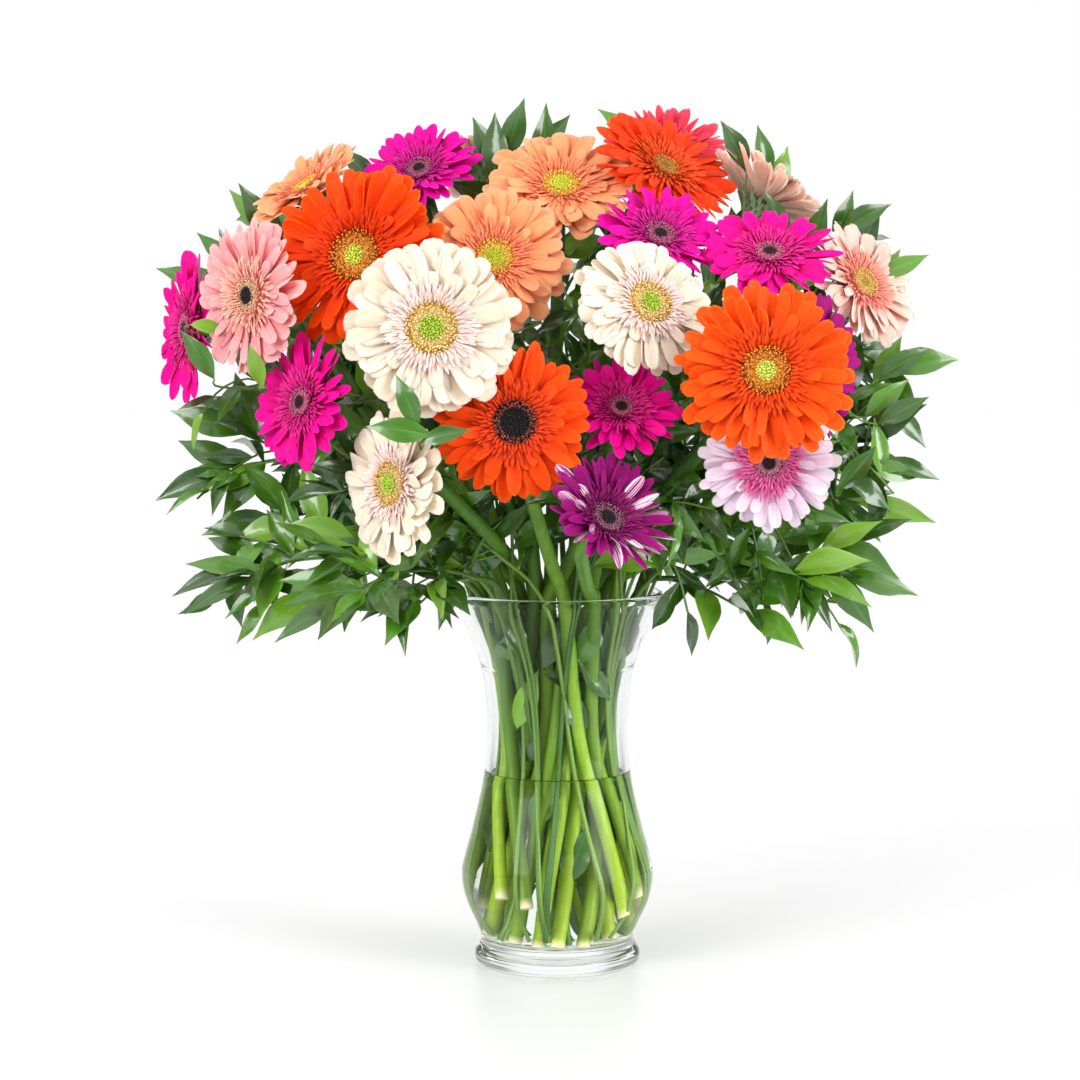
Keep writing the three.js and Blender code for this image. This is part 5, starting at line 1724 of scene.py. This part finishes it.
# %% Leaves along the outline
# Base and tip of leaves above the blooms or beside them. Nothing tests them for room
OUTLINE_LEAVES = [
    ((-33, 50, 494), (-20, 50, 534)), ((-44, 56, 500), (-52, 56, 523)), ((-121, 50, 488), (-136, 50, 504)),
    ((-185, 40, 456), (-203, 40, 478)), ((-210, 20, 440), (-221, 20, 451)), ((-13, 50, 498), (8, 50, 524)),
    ((44, 60, 514), (26, 60, 529)), ((116, 40, 490), (102, 40, 520)), ((129, 56, 498), (126, 56, 518)),
    ((140, 60, 490), (145, 60, 505)), ((177, 20, 452), (205, 20, 468)), ((176, 30, 456), (183, 30, 476)),
    ((203, 10, 426), (227, 10, 437)), ((203, 20, 428), (211, 20, 440)), ((198, -10, 363), (225, -10, 380)),
    ((198, 0, 366), (210, 0, 387)), ((189, -10, 340), (213, -10, 361)), ((197, -20, 336), (224, -20, 351)),
    ((194, -20, 318), (192, -20, 338)), ((174, -40, 303), (190, -40, 322)),
]
SHORTEST = 36 * MM
stem_places = [walk(stem, line_length(stem) * share)[0] for stem in main_stems
               for share in (0.5, 0.75, 0.95)]
lines, placed = [], []
for base, tip in OUTLINE_LEAVES:
    tip = Vector(tip) * MM
    along = (tip - Vector(base) * MM).normalized()
    length = max((tip - Vector(base) * MM).length, SHORTEST)
    base = tip - along * length
    placed.append(leaf_at(base, along, Vector((0.2, -1, 0.4)), length / LEAF_LENGTH, 1.05, 1.0))
    start = min(stem_places, key=lambda place: (place - base).length)
    lines.append([(start, 0.8 * TWIG_RADIUS), (start.lerp(base, 0.6) - along * 4 * MM, 0.7 * TWIG_RADIUS),
                  (base, 0.6 * TWIG_RADIUS)])
grow_foliage("outline_leaves", lines, placed, 83)
print("leaves along the outline:", len(placed))

# %% [markdown]
# ## Leaves in front and in the glass
# A few leaves lie over the blooms' rims, and a few more stand in the neck of the vase, pressed
# against the glass by the stems. They are placed one by one, from base to tip. Their blades
# aren't tested for room: three of them, and two of their stalks, reach into the glass.

# %% Leaves placed one by one
SINGLE_LEAVES = [
    ((-78, -168, 338), (-90, -170, 368)), ((-70, -168, 334), (-107, -168, 340)),
    ((-77, -168, 330), (-49, -170, 338)), ((-202, -62, 362), (-221, -64, 391)),
    ((-216, -62, 394), (-194, -62, 391)), ((-170, -96, 358), (-178, -96, 384)),
    ((-8, -33, 188), (8, -38, 224)), ((-8, -34, 184), (27, -27, 175)), ((36, -8, 178), (30, -30, 214)),
    ((-41, -8, 216), (-25, -30, 196)), ((-24, -28, 150), (-12, -36, 186)), ((16, -30, 146), (4, -36, 180)),
    ((38, -4, 188), (48, -14, 224)), ((-32, -24, 206), (-36, -12, 182)), ((24, -36, 220), (10, -34, 186)),
    ((-11, -33, 146), (-21, -28, 126)), ((-30, -34, 222), (-18, -36, 190)), ((30, -26, 168), (12, -36, 196)),
]
STALK_BACK = Vector((0, 30, -8)) * MM


def stalk_to(base):
    """A thin stalk: a short one in the vase, or else from the nearest stem with no bloom between"""
    knee = base + STALK_BACK
    starts = [knee] if base.z < RIM_TOP else sorted(stem_places, key=lambda place: (place - knee).length)
    for start in starts:
        if not crosses_bloom([start.lerp(knee, share) for share in np.linspace(0, 0.9, 10)], MM):
            return [(start, TWIG_RADIUS), (base + STALK_BACK * 0.6, 0.8 * TWIG_RADIUS),
                    (base, 0.6 * TWIG_RADIUS)]
    return [(knee, TWIG_RADIUS), (base, 0.6 * TWIG_RADIUS)]


lines, placed = [], []
for base, tip in SINGLE_LEAVES:
    base, tip = Vector(base) * MM, Vector(tip) * MM
    size = (tip - base).length / LEAF_LENGTH
    placed.append(leaf_at(base, (tip - base).normalized(), Vector((0, -1, 0.3)), size, 1.05, 1.2))
    lines.append(stalk_to(base))
grow_foliage("single_leaves", lines, placed, 82)
print("leaves placed one by one:", len(placed), "shortest and longest stalk in mm:",
      *(round(fit((line[0][0] - line[-1][0]).length for line in lines) / MM) for fit in (min, max)))

# %% Leaves among the stems
AMONG = 26
LOWEST, HIGHEST = 36 * MM, 214 * MM
FROM_AXIS = (0.45, 0.7)
SMALL_LEAF = (0.6, 0.85)
STALK_POINTS = (24, 10, 0)
lines, placed = [], []
chance = np.random.default_rng(960)
for number in range(AMONG):
    height = LOWEST + (HIGHEST - LOWEST) * (number + 0.5) / AMONG
    turn = GOLDEN_ANGLE * number
    out = Vector((math.cos(turn), math.sin(turn), 0))
    base = out * inner_radius(height) * chance.uniform(*FROM_AXIS) + Vector((0, 0, height))
    along = (out.cross(Vector((0, 0, 1))) * chance.uniform(-0.5, 0.5) + Vector((0, 0, 1))).normalized()
    leaf = leaf_at(base, along, out, chance.uniform(*SMALL_LEAF), 1.1, 0.8)
    if not crosses_glass(leaf_line(leaf)):
        placed.append(leaf)
        lines.append([(base - along * back * MM, 0.6 * TWIG_RADIUS) for back in STALK_POINTS])
grow_foliage("leaves_among_stems", lines, placed, 84)
print("leaves among the stems:", len(placed))
